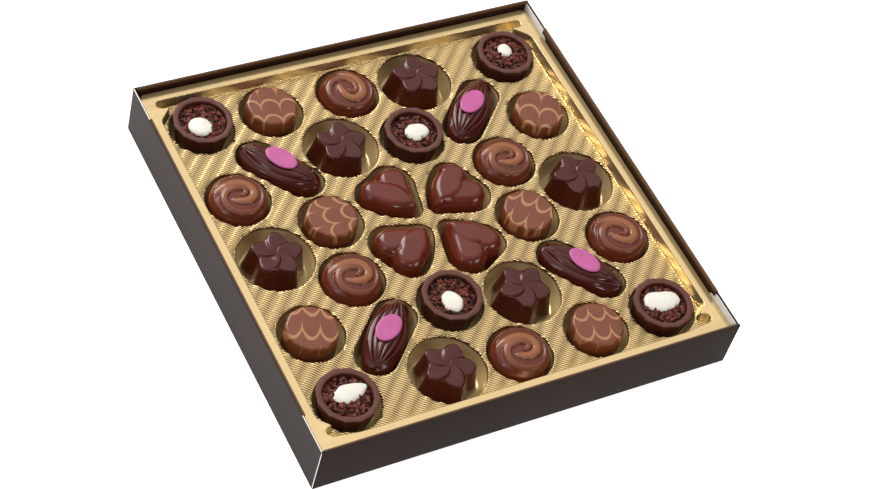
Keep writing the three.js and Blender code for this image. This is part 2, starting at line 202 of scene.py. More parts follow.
# %% Shader classes
class Value:
    def __init__(self, paint, socket):
        self.paint = paint
        self.socket = socket

    def math(self, operation, *others):
        return self.paint.node("ShaderNodeMath", {"operation": operation}, [self, *others])

    def flipped(self, operation, other):
        return self.paint.node("ShaderNodeMath", {"operation": operation}, [other, self])

    def __add__(self, other):
        return self.math("ADD", other)

    def __radd__(self, other):
        return self.flipped("ADD", other)

    def __sub__(self, other):
        return self.math("SUBTRACT", other)

    def __rsub__(self, other):
        return self.flipped("SUBTRACT", other)

    def __mul__(self, other):
        return self.math("MULTIPLY", other)

    def __rmul__(self, other):
        return self.flipped("MULTIPLY", other)

    def __truediv__(self, other):
        return self.math("DIVIDE", other)


class Paint:
    """A material: its Principled shader and the nodes that feed it."""

    def __init__(self, name, fixed=None):
        self.material = bpy.data.materials.new(name)
        self.material.use_nodes = True
        self.tree = self.material.node_tree
        self.shader = self.tree.nodes["Principled BSDF"]
        for key, number in (fixed or {}).items():
            self.shader.inputs[key].default_value = number

    def node(self, kind, settings=None, values=(), output=0):
        made = self.tree.nodes.new(kind)
        for key, setting in (settings or {}).items():
            setattr(made, key, setting)
        pairs = values.items() if isinstance(values, dict) else enumerate(values)
        for key, value in pairs:
            if isinstance(value, Value):
                self.tree.links.new(value.socket, made.inputs[key])
            else:
                made.inputs[key].default_value = value
        return Value(self, made.outputs[output])

    def feed(self, name, value):
        self.tree.links.new(value.socket, self.shader.inputs[name])

    def place(self):
        return self.node("ShaderNodeTexCoord", output="Object")

    def parts(self, vector):
        apart = self.node("ShaderNodeSeparateXYZ", values=[vector])
        sockets = apart.socket.node.outputs
        return [Value(self, sockets[i]) for i in range(3)]

    def noise(self, size, detail=2.0, vector=None):
        """Noise whose blobs are about size millimetres wide."""
        values = {"Vector": vector or self.place(), "Scale": 1 / (size * MM), "Detail": detail}
        return self.node("ShaderNodeTexNoise", values=values)

    def ramp(self, value, low, high):
        """0 up to low, 1 from high, smooth between."""
        settings = {"interpolation_type": "SMOOTHSTEP"}
        return self.node("ShaderNodeMapRange", settings, [value, low, high, 0.0, 1.0])

    def mix(self, share, first, second):
        settings = {"data_type": "RGBA"}
        return self.node("ShaderNodeMix", settings, {0: share, 6: first, 7: second}, 2)

    def bump(self, height, distance):
        """Relief whose height, 0 to 1, stands for distance millimetres."""
        values = {"Height": height, "Distance": distance * MM, "Strength": 1.0}
        return self.node("ShaderNodeBump", values=values)

    def attribute(self, name):
        """What the mesh carries under this name."""
        return self.node("ShaderNodeAttribute", {"attribute_name": name}, output="Fac")


def tone(code):
    """A colour as printed on a swatch, in Blender's linear numbers."""
    parts = [int(code[i:i + 2], 16) / 255 for i in (1, 3, 5)]
    linear = [c / 12.92 if c <= 0.04045 else ((c + 0.055) / 1.055) ** 2.4 for c in parts]
    return (*linear, 1.0)


floor_glow = {"Emission Color": (1, 1, 1, 1), "Emission Strength": FLOOR_GLOW}
floor_paint = Paint("floor_white", {"Roughness": 0.9, **floor_glow})
floor_paint.feed("Base Color", floor_paint.mix(floor_paint.noise(400), tone("#fbfbfb"), tone("#ffffff")))
floor.data.materials.append(floor_paint.material)
print("a Value has", sum(1 for name in vars(Value) if name.startswith("__")), "special names")

# %% [markdown]
# ## Chocolate
#
# Moulded chocolate is smooth and satin: it takes the mould's polish, and handling dulls it in
# patches. So the finish is one colour with a slow drift, a roughness that wanders a little, and a
# very faint unevenness in the normal. Where a praline has a second colour, such as the swirl's
# lighter band, the mesh carries how much of it there is as an attribute, and the finish reads it.

# %% Chocolate finishes
def chocolate(name, code, roughness, shine, depth=0.05):
    """A chocolate paint; its colour is kept, so that a second one can be mixed in."""
    paint = Paint(name, {"Specular IOR Level": shine})
    drift = paint.ramp(paint.noise(9), 0.3, 0.7)
    dark = tuple(0.86 * c for c in tone(code)[:3]) + (1.0,)
    paint.colour = paint.mix(drift, dark, tone(code))
    haze = paint.noise(3.5, 3.0)
    paint.feed("Roughness", roughness - 0.06 + 0.12 * haze)
    grain = paint.noise(1.6, 3.0)
    paint.feed("Normal", paint.bump(grain, depth))
    paint.feed("Base Color", paint.colour)
    return paint


dark_paint = chocolate("dark_chocolate", "#461007", 0.13, 0.36)
heart_paint = chocolate("milk_chocolate", "#621f0d", 0.2, 0.42)

swirl_paint = chocolate("swirled_milk_chocolate", "#602511", 0.2, 0.38)
lighter = swirl_paint.attribute("band")
swirl_paint.feed("Base Color", swirl_paint.mix(lighter, swirl_paint.colour, tone("#8c5534")))

cup_paint = chocolate("cup_chocolate", "#42140a", 0.3, 0.35)
cut = cup_paint.attribute("cut")
cup_paint.feed("Base Color", cup_paint.mix(cut, cup_paint.colour, tone("#5c352b")))
cup_paint.feed("Roughness", 0.33 + 0.3 * cut)
print("chocolate finishes:", len([m for m in bpy.data.materials if "chocolate" in m.name]))

# %% [markdown]
# ## Meshes from rings
#
# Nearly every praline is a stack of rings: a foot, walls that lean, a shoulder, and rings that
# close on the crown. `loft` joins such a stack and closes both ends on a middle point. A piece
# that stands for a packed solid is turned, then moved so that its plan and its foot match that
# solid's, so no place has to be written down a second time.

# %% Rings and pieces
def angles(count):
    """Evenly spaced angles all the way round."""
    return np.arange(count) * 2 * math.pi / count


def ring(count, radius, z=0.0):
    """A ring of points. Radius is a number or one number for each point."""
    angle = angles(count)
    height = np.broadcast_to(z, count)
    return np.column_stack([radius * np.cos(angle), radius * np.sin(angle), height])


def loft(rings, crown=None):
    """Points and faces of a closed skin over rings with equal counts."""
    count = len(rings[0])
    points = np.vstack(rings)
    middle = rings[-1].mean(axis=0) if crown is None else np.array(crown)
    points = np.vstack([points, rings[0].mean(axis=0), middle])
    foot, top = len(points) - 2, len(points) - 1
    i = np.arange(count)
    j = (i + 1) % count
    faces = [(foot, int(b), int(a)) for a, b in zip(i, j)]
    for k in range(len(rings) - 1):
        low, high = k * count, (k + 1) * count
        quads = np.column_stack([low + i, low + j, high + j, high + i])
        faces += [tuple(map(int, quad)) for quad in quads]
    last = (len(rings) - 1) * count
    faces += [(int(last + a), int(last + b), top) for a, b in zip(i, j)]
    return points, faces


def make_piece(name, points, faces, paint, smooth=True):
    mesh = bpy.data.meshes.new(name)
    mesh.from_pydata((np.asarray(points) * MM).tolist(), [], faces)
    mesh.materials.append(paint.material)
    mesh.polygons.foreach_set("use_smooth", [smooth] * len(mesh.polygons))
    piece = bpy.data.objects.new(name, mesh)
    bpy.context.scene.collection.objects.link(piece)
    return piece


def store(piece, name, numbers):
    layer = piece.data.attributes.new(name, "FLOAT", "POINT")
    layer.data.foreach_set("value", np.asarray(numbers, dtype=np.float32))


def evaluated(piece):
    """The piece's mesh after its modifiers, as plain mesh."""
    graph = bpy.context.evaluated_depsgraph_get()
    graph.update()
    mesh = bpy.data.meshes.new_from_object(piece.evaluated_get(graph), depsgraph=graph)
    piece.modifiers.clear()
    piece.data = mesh
    return mesh


def turned(points, degrees):
    angle = math.radians(degrees)
    c, s = math.cos(angle), math.sin(angle)
    out = np.array(points, dtype=float)
    out[:, 0] = c * points[:, 0] - s * points[:, 1]
    out[:, 1] = s * points[:, 0] + c * points[:, 1]
    return out


def box_of(node):
    """A packed solid's lowest and highest corner in millimetres."""
    return tuple(np.array(corner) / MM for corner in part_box(node))


def set_in_place(points, node, degrees=0.0):
    """Turns the points and moves them so that plan and foot match the node's."""
    low, high = box_of(node)
    out = turned(points, degrees)
    middle = (out.min(axis=0) + out.max(axis=0)) / 2
    shift = (low + high) / 2 - middle
    shift[2] = low[2] - out[:, 2].min()
    return out + shift


def finish_piece(piece, slot, *nodes):
    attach(piece, "root")
    if nodes:
        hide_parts(*nodes)


def stand_in(name, node, shape, paint, slot, turn=0.0, **marks):
    """A finer piece in a packed solid's place. Each mark is an attribute of its points."""
    points, faces = shape
    piece = make_piece(name, set_in_place(points, node, turn), faces, paint)
    for mark, numbers in marks.items():
        store(piece, mark, numbers)
    finish_piece(piece, slot, node)


def nodes_of(kind, ending=""):
    """The packed solids of one kind, in their order."""
    names = [n for n in frame["nodes"] if n.startswith(kind + "_") and n.endswith(ending)]
    return sorted(names, key=lambda n: int(n.split("_")[1]))


KINDS = ("cup", "round", "swirl", "star", "boat", "heart")
print("solids of each kind:", {kind: len(nodes_of(kind)) for kind in KINDS})

# %% [markdown]
# ## Round praline with combed lines
#
# A round moulded praline with a flat top and a soft shoulder. Its lighter lines are drawn across
# the soft coating and then combed, which pulls each line into a row of arcs that meet in thin
# tails. The lines lie flush, so they are colour and not relief. Each praline's own UV map counts
# arcs along u and rows along v, so one finish draws them all and the lines run down the sides too.

# %% Combed finish
# in arcs and rows of the UV map
ARC_DEPTH = 0.6
ARC_WANDER, ROW_WANDER = 0.1, 0.14
LINE_WIDTH = 0.075

comb_paint = chocolate("combed_milk_chocolate", "#763c21", 0.22, 0.44)
comb_map = comb_paint.node("ShaderNodeUVMap", {"uv_map": "comb"})
wander = comb_paint.noise(7, 2.0)
comb_u, comb_v = comb_paint.parts(comb_map)[:2]
comb_u = comb_u + ARC_WANDER * (wander - 0.5)
across = comb_u - (comb_u + 0.5).math("FLOOR")
steep = (1 - 4 * across * across).math("MAXIMUM", 0.0015).math("SQRT")
height = comb_v + ROW_WANDER * (wander - 0.5) - ARC_DEPTH * (steep - 1)
nearest = (height - (height + 0.5).math("FLOOR")).math("ABSOLUTE")
slope = 4 * ARC_DEPTH * across / steep
distance = nearest / (1 + slope * slope).math("SQRT")
width = LINE_WIDTH * (0.28 + 0.72 * steep)
line = comb_paint.ramp(distance / width, 1.15, 0.8)
level = comb_paint.parts(comb_paint.place())[2]
line = line * comb_paint.ramp(level, 17 * MM, 21 * MM)
# painted shade: below the top the sides are painted darker, as they stand in the pocket's shade
side = 1 - comb_paint.ramp(level, 15 * MM, 22 * MM)
comb_colour_shaded_sides = comb_paint.mix(0.75 * side, comb_paint.colour, tone("#4a1f10"))
comb_paint.feed("Base Color", comb_paint.mix(0.9 * line, comb_colour_shaded_sides, tone("#ab7650")))
print("nodes in the combed finish:", len(comb_paint.tree.nodes))

# %% Combed rounds
ROUND_TOP = 16.8
ROUND_SHOULDER = 1.5
ROUND_RADIUS = 13.2
ROUND_CROWNING = 0.35
ROUND_COUNT = 108
# turn of the rows, arc and row spacing in mm, and where the first arc's crest lies
COMBS = [
    {"turn": -12, "arc": 9.6, "row": 9.8, "crest": (-1.3, 3.2)},
    {"turn": 166, "arc": 8.6, "row": 11.2, "crest": (-1.0, -2.4)},
    {"turn": -33, "arc": 10.2, "row": 11.4, "crest": (5.2, 1.0)},
    {"turn": 155, "arc": 8.6, "row": 13.4, "crest": (0.6, -7.0)},
    {"turn": 90, "arc": 9.6, "row": 9.8, "crest": (-0.1, 4.5)},
    {"turn": 130, "arc": 8.1, "row": 14.5, "crest": (2.9, -1.5)},
]


def round_profile():
    """Radius and height from the foot over the shoulder to the crown."""
    flat = ROUND_RADIUS - 0.6 - ROUND_SHOULDER
    wall = [(12.3, 0.0), (12.9, 0.25), (13.1, 0.9), (ROUND_RADIUS, 3.0), (ROUND_RADIUS, 8.0)]
    wall += [(ROUND_RADIUS - 0.1, 11.0), (ROUND_RADIUS - 0.3, 13.2)]
    bend = []
    for k in range(8):
        a = math.radians(90 * k / 7)
        z = ROUND_TOP - ROUND_CROWNING - ROUND_SHOULDER * (1 - math.sin(a))
        bend.append((flat + 0.2 + ROUND_SHOULDER * math.cos(a), z))
    top = [(r, ROUND_TOP - ROUND_CROWNING * (r / flat) ** 2) for r in (10.0, 7.5, 5.0, 2.5)]
    return wall + bend + top


profile = round_profile()
facets = 1 + 0.011 * np.cos(9 * np.arange(ROUND_COUNT) * 2 * math.pi / ROUND_COUNT)
rings = [ring(ROUND_COUNT, r * facets, z) for r, z in profile]
round_points, round_faces = loft(rings, (0, 0, ROUND_TOP))

for node, comb in zip(nodes_of("round"), COMBS):
    piece = make_piece("combed_" + node, set_in_place(round_points, node), round_faces, comb_paint)
    local = turned(round_points, -comb["turn"])
    u = (local[:, 0] - comb["crest"][0]) / comb["arc"]
    v = (local[:, 1] - comb["crest"][1]) / comb["row"]
    layer = piece.data.uv_layers.new(name="comb")
    corner = np.empty(len(piece.data.loops), dtype=np.int32)
    piece.data.loops.foreach_get("vertex_index", corner)
    layer.data.foreach_set("uv", np.column_stack([u[corner], v[corner]]).ravel().astype(np.float32))
    finish_piece(piece, "milk_chocolate", node)
print("combed rounds:", len(COMBS), "with", len(round_faces), "faces each")

# %% [markdown]
# ## Swirl
#
# A domed praline with two raised bands that wind in, as if piped: a broad light one from the outer
# left over the top, and a second one that starts at the outer right, runs round the front and ends
# in a small curl in the middle. Each band is a curve given by a few radii at named angles. The
# mesh is a dense dome, and each of its points rises by how near it lies to a band's middle line.

# %% Swirl bands
SWIRL_RADIUS = 14.9
SWIRL_COUNT = 168
# angle clockwise from the left in degrees, radius of the middle line, half width, rise, lightness
BROAD_BAND = [
    (14, 12.9, 1.6, 0.1, 0.1), (38, 9.4, 2.2, 0.8, 0.9), (72, 7.2, 2.4, 0.95, 1), (110, 6.5, 2.5, 1, 1),
    (160, 6.7, 2.5, 1, 1), (205, 6.7, 2.4, 1, 1), (245, 5.6, 2.3, 0.95, 1), (290, 4.9, 2.1, 0.8, 1),
    (325, 5.4, 1.5, 0.5, 0.8),
]
CURL_BAND = [
    (95, 12.6, 1.5, 0.3, 0.1), (150, 12.3, 1.6, 0.55, 0.1), (220, 12.0, 1.8, 0.6, 0.1),
    (280, 11.6, 2.0, 0.7, 0.15), (330, 10.3, 2.2, 0.85, 0.3), (372, 8.0, 2.1, 0.9, 0.65),
    (405, 5.4, 2.0, 0.95, 0.7), (450, 3.5, 1.9, 1, 0.5), (510, 3.2, 1.7, 0.95, 0.35),
    (560, 2.4, 1.5, 0.8, 0.3), (610, 1.6, 1.3, 0.8, 0.3),
]
SWIRL_EYE = (0.9, 0.4)
SWIRL_RISE = 1.4
DOME_TOP, DOME_DROP = 16.35, 1.3


def smooth_between(x, known, values):
    """Values at x on a smooth curve through the known points."""
    gap = np.gradient(values, known)
    k = np.clip(np.searchsorted(known, x) - 1, 0, len(known) - 2)
    step = known[k + 1] - known[k]
    t = (x - known[k]) / step
    low, high = values[k], values[k + 1]
    rise = (2 * t ** 3 - 3 * t ** 2 + 1) * low + (3 * t ** 2 - 2 * t ** 3) * high
    return rise + step * ((t ** 3 - 2 * t ** 2 + t) * gap[k] + (t ** 3 - t ** 2) * gap[k + 1])


def band_line(table, steps=140):
    """Points on a band's middle line with their half width, rise and lightness."""
    table = np.array(table, dtype=float)
    angle = np.linspace(table[0, 0], table[-1, 0], steps)
    radius, half, rise, light = (smooth_between(angle, table[:, 0], table[:, c]) for c in (1, 2, 3, 4))
    turn = np.radians(180 - angle)
    x = SWIRL_EYE[0] + radius * np.cos(turn)
    y = SWIRL_EYE[1] + radius * np.sin(turn)
    return np.column_stack([x, y, half, rise, light])


def near_band(points, line):
    """How much each point belongs to a band: 1 on its middle line, 0 at its edge and beyond."""
    apart = np.hypot(points[:, None, 0] - line[None, :, 0], points[:, None, 1] - line[None, :, 1])
    near = np.argmin(apart / line[None, :, 2], axis=1)
    share = np.clip(1 - (apart[np.arange(len(points)), near] / line[near, 2]) ** 2, 0, 1)
    return np.sqrt(share) * line[near, 3], share, line[near, 4]


def swirl_shape():
    dome = [(12.9, 0.0), (13.9, 0.3), (14.3, 1.2), (14.7, 4.0), (SWIRL_RADIUS, 7.5)]
    dome += [(14.85, 9.6), (14.5, 11.6), (13.9, 13.2), (13.2, 14.2), (12.5, 14.9)]
    rings = [ring(SWIRL_COUNT, r, z) for r, z in dome]
    for radius in np.linspace(12.2, 0.3, 54):
        rings.append(ring(SWIRL_COUNT, radius, DOME_TOP - DOME_DROP * (radius / 12.5) ** 2.6))
    points, faces = loft(rings)
    top = points[:, 2] > 12
    raised = np.zeros(len(points))
    light = np.zeros(len(points))
    for table in (BROAD_BAND, CURL_BAND):
        rise, share, lightness = near_band(points, band_line(table))
        higher = rise > raised
        raised = np.where(higher, rise, raised)
        light = np.where(higher, lightness * np.clip(share * 2.5, 0, 1), light)
    fade = np.clip((points[:, 2] - 11.5) / 2.5, 0, 1) * top
    points[:, 2] += SWIRL_RISE * fade * (raised - 0.35)
    return points, faces, light * fade


swirl_points, swirl_faces, swirl_light = swirl_shape()
SWIRL_TURNS = (-70, 0, 0, -35, 0, 0)
for node, turn in zip(nodes_of("swirl"), SWIRL_TURNS):
    shape = (swirl_points, swirl_faces)
    stand_in("piped_" + node, node, shape, swirl_paint, "milk_chocolate", turn, band=swirl_light)
print("swirls:", len(SWIRL_TURNS), "crown at", round(swirl_points[:, 2].max(), 2), "mm")

# %% [markdown]
# ## Star
#
# A puffed five-pointed star whose sides flare out to the foot. Five gentle creases turn on its top
# like a pinwheel, so each arm is a little higher on one side. Rings do it again: the ring's radius
# swells five times round, and on top each point drops by where it lies between two creases.

# %% Stars
STAR_HEIGHT = 17.5
STAR_COUNT = 180
STAR_SHOULDER = 0.75
# radius of the tips and of the valleys
STAR_FOOT, STAR_EDGE = (16.1, 12.9), (12.4, 9.0)
PINWHEEL = 0.7
PINWHEEL_TWIST = 0.075


def five_arms(tip, valley, sharp=1.3):
    share = 0.5 + 0.5 * np.cos(5 * angles(STAR_COUNT))
    return valley + (tip - valley) * share ** sharp


def star_shape():
    foot = five_arms(*STAR_FOOT)
    edge = five_arms(*STAR_EDGE, 1.0)
    rings = [ring(STAR_COUNT, foot - inset, z) for inset, z in ((0.7, 0.0), (0.15, 0.3), (0.0, 1.0))]
    for t in np.linspace(0.12, 1, 8):
        radius = foot + (edge + STAR_SHOULDER - foot) * t ** 0.9
        rings.append(ring(STAR_COUNT, radius, 1.0 + (STAR_HEIGHT - 3.4) * t))
    for k in range(1, 6):
        bend = math.radians(90 * k / 5)
        inset = STAR_SHOULDER * (1 - math.cos(bend)) + 0.35 * k / 5
        z = STAR_HEIGHT - 1.6 + 1.0 * math.sin(bend)
        rings.append(ring(STAR_COUNT, edge + STAR_SHOULDER - inset, z))
    for share in np.linspace(0.9, 0.06, 18):
        radius = five_arms(STAR_EDGE[0], STAR_EDGE[1] + 1.0 * (1 - share), 1.0) * share
        rings.append(ring(STAR_COUNT, radius, STAR_HEIGHT - 0.6 + 0.55 * (1 - share ** 2)))
    points, faces = loft(rings)
    radius = np.hypot(points[:, 0], points[:, 1])
    angle = np.arctan2(points[:, 1], points[:, 0]) + PINWHEEL_TWIST * (radius - 9)
    phase = (5 * angle / (2 * math.pi) + 0.5) % 1
    saw = np.where(phase < 0.8, phase / 0.8, (1 - phase) / 0.2)
    saw = saw * saw * (3 - 2 * saw)
    fade = np.clip((points[:, 2] - STAR_HEIGHT + 1.6) / 1.2, 0, 1) * np.clip(radius / 5, 0, 1)
    points[:, 2] += PINWHEEL * fade * (saw - 0.75)
    dent = np.exp(-(radius / 2.2) ** 2) * (points[:, 2] > 10)
    points[:, 2] -= 0.35 * dent
    return points, faces


star = star_shape()
STAR_TURNS = (8, 51, 3, 37, 0, 25)
for node, turn in zip(nodes_of("star"), STAR_TURNS):
    stand_in("puffed_" + node, node, star, dark_paint, "dark_chocolate", turn)
print("stars:", len(STAR_TURNS), "with", len(star[1]), "faces each")

# %% [markdown]
# ## Boat
#
# A long oval whose top is like a leaf: rounded ridges with sharp creases between them fan out
# from both tips, and a pink disc is pressed on the middle. The flank is a stack of ovals. The top
# is a stack of leaf outlines of nearly one length that get ever narrower, so a height that depends
# on the outline alone draws lines that meet at the tips.

# %% Boats
# half length, half width, height at the side, height at the tips: the flank from the foot up
FLANK = [
    (20.1, 7.9, 0.0, 0.0), (20.7, 8.4, 0.4, 0.4), (21.3, 9.1, 3.0, 4.0), (22.3, 10.1, 8.0, 9.8),
    (22.3, 10.1, 9.8, 11.2), (21.9, 9.8, 11.3, 12.3), (21.3, 9.4, 12.4, 12.9),
]
LEAF_HALF, LEAF_WIDTH = 20.7, 9.0
LEAF_EDGE, LEAF_TIP, LEAF_CROWN = 13.1, 13.4, 16.75
VEINS = 5
VEIN_DEPTH = 0.6
BOAT_COUNT = 160


def flank_ring(half, width, side, tip):
    angle = angles(BOAT_COUNT)
    x, y = np.cos(angle), np.sin(angle)
    z = side + (tip - side) * x ** 4
    return np.column_stack([half * x, width * np.sign(y) * np.abs(y) ** 0.9, z])


def leaf_ring(share):
    """A ring of the leaf-shaped top: all rings meet near its two tips."""
    angle = angles(BOAT_COUNT)
    half = LEAF_HALF - 0.8 * (1 - share)
    x = half * np.cos(angle)
    along = np.abs(np.cos(angle))
    width = LEAF_WIDTH * (1 - along ** 2.1) ** 0.82
    signed = share * np.sign(np.sin(angle))
    edge = LEAF_EDGE + (LEAF_TIP - LEAF_EDGE) * along ** 4
    crown = LEAF_CROWN - (LEAF_CROWN - LEAF_TIP - 0.3) * along ** 5
    z = edge + (crown - edge) * (1 - share ** 2.3)
    phase = math.pi / 2 * VEINS * signed + math.pi / 4 * (1 - x / half) * (1 - share ** 2)
    vein = 1 - np.abs(np.sin(phase)) ** 0.8
    z = z - VEIN_DEPTH * vein * np.clip(width / 4, 0, 1)
    return np.column_stack([x, width * signed, z])


def boat_shape():
    rings = [flank_ring(*level) for level in FLANK]
    rings += [leaf_ring(share) for share in np.linspace(1, 0.01, 46)]
    points, faces = loft(rings)
    faces = faces[:-BOAT_COUNT]
    last = (len(rings) - 1) * BOAT_COUNT
    for i in range(BOAT_COUNT // 2):
        far = (BOAT_COUNT - i) % BOAT_COUNT
        faces.append((last + i, last + i + 1, last + BOAT_COUNT - i - 1, last + far))
    return points[:-1], faces


boat = boat_shape()
BOAT_TURNS = (45, 48, 130, 129)
DISC_TURNS = (-10, -13, -7, -12)
DISC_HALF, DISC_WIDTH = 8.7, 5.45
pink_paint = chocolate("pink_chocolate", "#bd5a92", 0.35, 0.4, 0.1)


def disc_shape():
    levels = [(0.93, 0.0), (1.0, 0.14), (1.01, 0.4), (0.99, 0.66), (0.95, 0.84)]
    levels += [(0.88, 0.93), (0.7, 0.97), (0.45, 0.98), (0.2, 0.985)]
    return loft([ring(80, 1.0, z) * (DISC_HALF * share, DISC_WIDTH * share, 1) for share, z in levels])


disc = disc_shape()
for node, turn, twist in zip(nodes_of("boat", "body"), BOAT_TURNS, DISC_TURNS):
    stand_in("ridged_" + node, node, boat, dark_paint, "dark_chocolate", turn)
    disc_node = node.replace("body", "disc")
    stand_in("pressed_" + disc_node, disc_node, disc, pink_paint, "pink_disc", turn + twist)
print("boats:", len(BOAT_TURNS), "with", VEINS, "creases across the leaf")

# %% [markdown]
# ## Heart
#
# A leaning heart made of two leaf-shaped lobes that run from one tip and part at a shallow notch.
# A leaf is the set of points near a line from the tip to the lobe, with a width that grows along
# it. The distance from its edge shapes the outline, and also a pillow over each leaf. The left
# pillow is the higher one, and a soft maximum of the two leaves the crease where it ends.

# %% Hearts
TIP = np.array((8.3, -11.5))
TIP_RADIUS = 3.2
RIGHT_LOBE = (np.array((6.1, 6.0)), 9.0)
RIGHT_BULGE = 1.0
LEFT_LOBE = (np.array((-5.1, 1.5)), 8.4)
LEFT_BULGE = 2.0
LEFT_INNER = 3.4
HEART_CENTRE = np.array((2.2, -0.6))
HEART_HEIGHT = 17.2
# how far the left leaf lies above the right one, and how sharp the crease between them is
LEAF_LIFT = 0.9
CREASE = 4.0
# the pillow's edge: how far it drops, where that begins and ends, and how late
BEVEL_DROP, BEVEL_START, BEVEL_REACH, BEVEL_POWER = 4.0, 0.2, 5.2, 2.4
HEART_DOMING = 0.5
HEART_COUNT = 200


def leaf_depth(points, lobe, bulge, inner=0.0):
    """How deep each point lies inside a leaf: the leaf's edge is at 0."""
    centre, radius = lobe
    along = centre - TIP
    length = np.hypot(*along)
    along = along / length
    offset = points - TIP
    t = offset @ along
    side = offset @ np.array((along[1], -along[0]))
    lean = (TIP_RADIUS - radius) / length
    t = np.clip(t + np.abs(side) * -lean / math.sqrt(1 - lean ** 2), 0, length)
    share = t / length
    apart = np.hypot(*(points - TIP - t[:, None] * along).T)
    grown = bulge * np.clip(0.5 - side, 0, 1) + inner * np.clip(0.5 + side, 0, 1)
    grown = 4 * share * (1 - share) * grown
    return TIP_RADIUS + (radius - TIP_RADIUS) * share + grown - apart


def heart_depth(points):
    right = leaf_depth(points, RIGHT_LOBE, RIGHT_BULGE)
    left = leaf_depth(points, LEFT_LOBE, LEFT_BULGE, LEFT_INNER)
    return np.maximum(right, left), right, left


def heart_outline():
    """The heart's edge, found along rays from its middle."""
    angle = angles(HEART_COUNT)
    ray = np.column_stack([np.cos(angle), np.sin(angle)])
    low, high = np.zeros(HEART_COUNT), np.full(HEART_COUNT, 25.0)
    for _ in range(30):
        middle = (low + high) / 2
        inside = heart_depth(HEART_CENTRE + middle[:, None] * ray)[0] > 0
        low, high = np.where(inside, middle, low), np.where(inside, high, middle)
    return low[:, None] * ray


def pillow(depth, top):
    """Height over a leaf: nearly flat in the middle and rounded down to its edge."""
    return top - BEVEL_DROP * np.clip(1 - (depth - BEVEL_START) / BEVEL_REACH, 0, 1) ** BEVEL_POWER


def heart_shape():
    edge = heart_outline()
    rings = []
    walls = [(0.95, 0.0), (0.99, 0.35), (1.0, 1.2), (0.995, 4.0), (0.98, 8.0)]
    walls += [(0.967, 11.0), (0.957, 12.4)]
    for share, z in walls:
        rings.append(np.column_stack([HEART_CENTRE + share * edge, np.full(HEART_COUNT, z)]))
    for share in np.linspace(0.947, 0.03, 48):
        plan = HEART_CENTRE + share * edge
        depth, right, left = heart_depth(plan)
        near, far = pillow(left, HEART_HEIGHT), pillow(right, HEART_HEIGHT - LEAF_LIFT)
        z = np.logaddexp(CREASE * near, CREASE * far) / CREASE - HEART_DOMING * (share / 0.95) ** 2
        rings.append(np.column_stack([plan, z]))
    return loft(rings)


heart = heart_shape()
HEART_TURNS = (0, 180, -92.5, 87.5)
for node, turn in zip(nodes_of("heart"), HEART_TURNS):
    stand_in("leaning_" + node, node, heart, heart_paint, "milk_chocolate", turn)
print("hearts:", len(HEART_TURNS), "extent", np.ptp(heart[0], axis=0).round(2))

# %% [markdown]
# ## Cup
#
# An open cup with twelve flat sides that lean out. Its rim is a matte cut face, a little uneven,
# and its bore is round. The mesh carries an attribute that is 1 on the cut rim, because a cut face
# is paler and duller than the moulded sides.

# %% Cup shells
CUP_BASE, CUP_RIM, CUP_BORE = 12.2, 15.35, 12.05
CUP_HEIGHT, CUP_HOLLOW = 17.6, 12.4
CUP_CORNER = 0.16
CUP_COUNT = 192


def twelve_sides(radius, soften):
    """A twelve-sided outline whose corners are rounded off."""
    angle = angles(CUP_COUNT)
    off = (angle + math.pi / 12) % (math.pi / 6) - math.pi / 12
    flat = math.cos(math.pi / 12)
    sides = radius * flat / np.cos(math.pi / 12 - np.abs(off))
    return np.minimum(sides, radius - soften + soften * np.cos(12 * angle))


def uneven(seed, size):
    """A smooth closed wander round the ring, up to about size each way."""
    draw = np.random.default_rng(seed)
    angle = angles(CUP_COUNT)
    out = np.zeros(CUP_COUNT)
    for k in range(2, 11):
        out += draw.normal() * np.cos(k * 2 * angle + draw.uniform(0, 6.28)) / math.sqrt(k)
    return size * out / 2.2


def cup_shape(seed):
    chip = uneven(seed, 0.11)
    lip = uneven(seed + 50, 0.14)
    bore = CUP_BORE + uneven(seed + 90, 0.16)
    rings, cut = [], []
    walls = [(0.0, -0.5), (0.25, -0.12), (0.8, 0.0), (5.0, 0.0), (9.0, 0.0), (13.0, 0.0)]
    walls += [(16.4, 0.0), (17.1, -0.02)]
    for z, inset in walls:
        radius = CUP_BASE + (CUP_RIM - CUP_BASE) * z / CUP_HEIGHT + inset
        rings.append(ring(CUP_COUNT, twelve_sides(radius, CUP_CORNER), z))
        cut.append(0)
    edge = twelve_sides(CUP_RIM - 0.02, CUP_CORNER)
    lips = [(0.0, 17.32, 0.5), (0.12, 17.5, 1), (0.5, 17.56, 1), (0.85, 17.5, 1), (1.0, 17.3, 1)]
    for share, z, part in lips:
        radius = edge + (bore - edge) * share - 0.12 * (share == 0)
        rings.append(ring(CUP_COUNT, radius + chip * (1 - share), z + lip * (0.3 + 0.5 * share) - 0.1))
        cut.append(part)
    for z, inset in ((16.6, 0.12), (15.4, 0.3), (14.0, 0.4), (CUP_HOLLOW, 0.5)):
        rings.append(ring(CUP_COUNT, bore - inset, z))
        cut.append(0.35)
    points, faces = loft(rings)
    return points, faces, np.append(np.repeat(cut, CUP_COUNT), (0, 0))


for index, node in enumerate(nodes_of("cup", "shell")):
    cup_points, cup_faces, cup_cut = cup_shape(index)
    name, shape = "cup_" + str(index + 1), (cup_points, cup_faces)
    stand_in(name, node, shape, cup_paint, "cup_chocolate", cut=cup_cut)
print("cups:", index + 1, "with", len(cup_faces), "faces each")

# %% [markdown]
# ## Crumbs
#
# The cups are filled with cocoa nibs: about a hundred and fifty small lumps each. They are
# strewn by Geometry Nodes over a low mound, turned and sized at random, made real, and then pushed
# about by noise, so that every lump gets its own corners. The mound carries how bare each point
# is, which keeps the lumps out from under the cream.

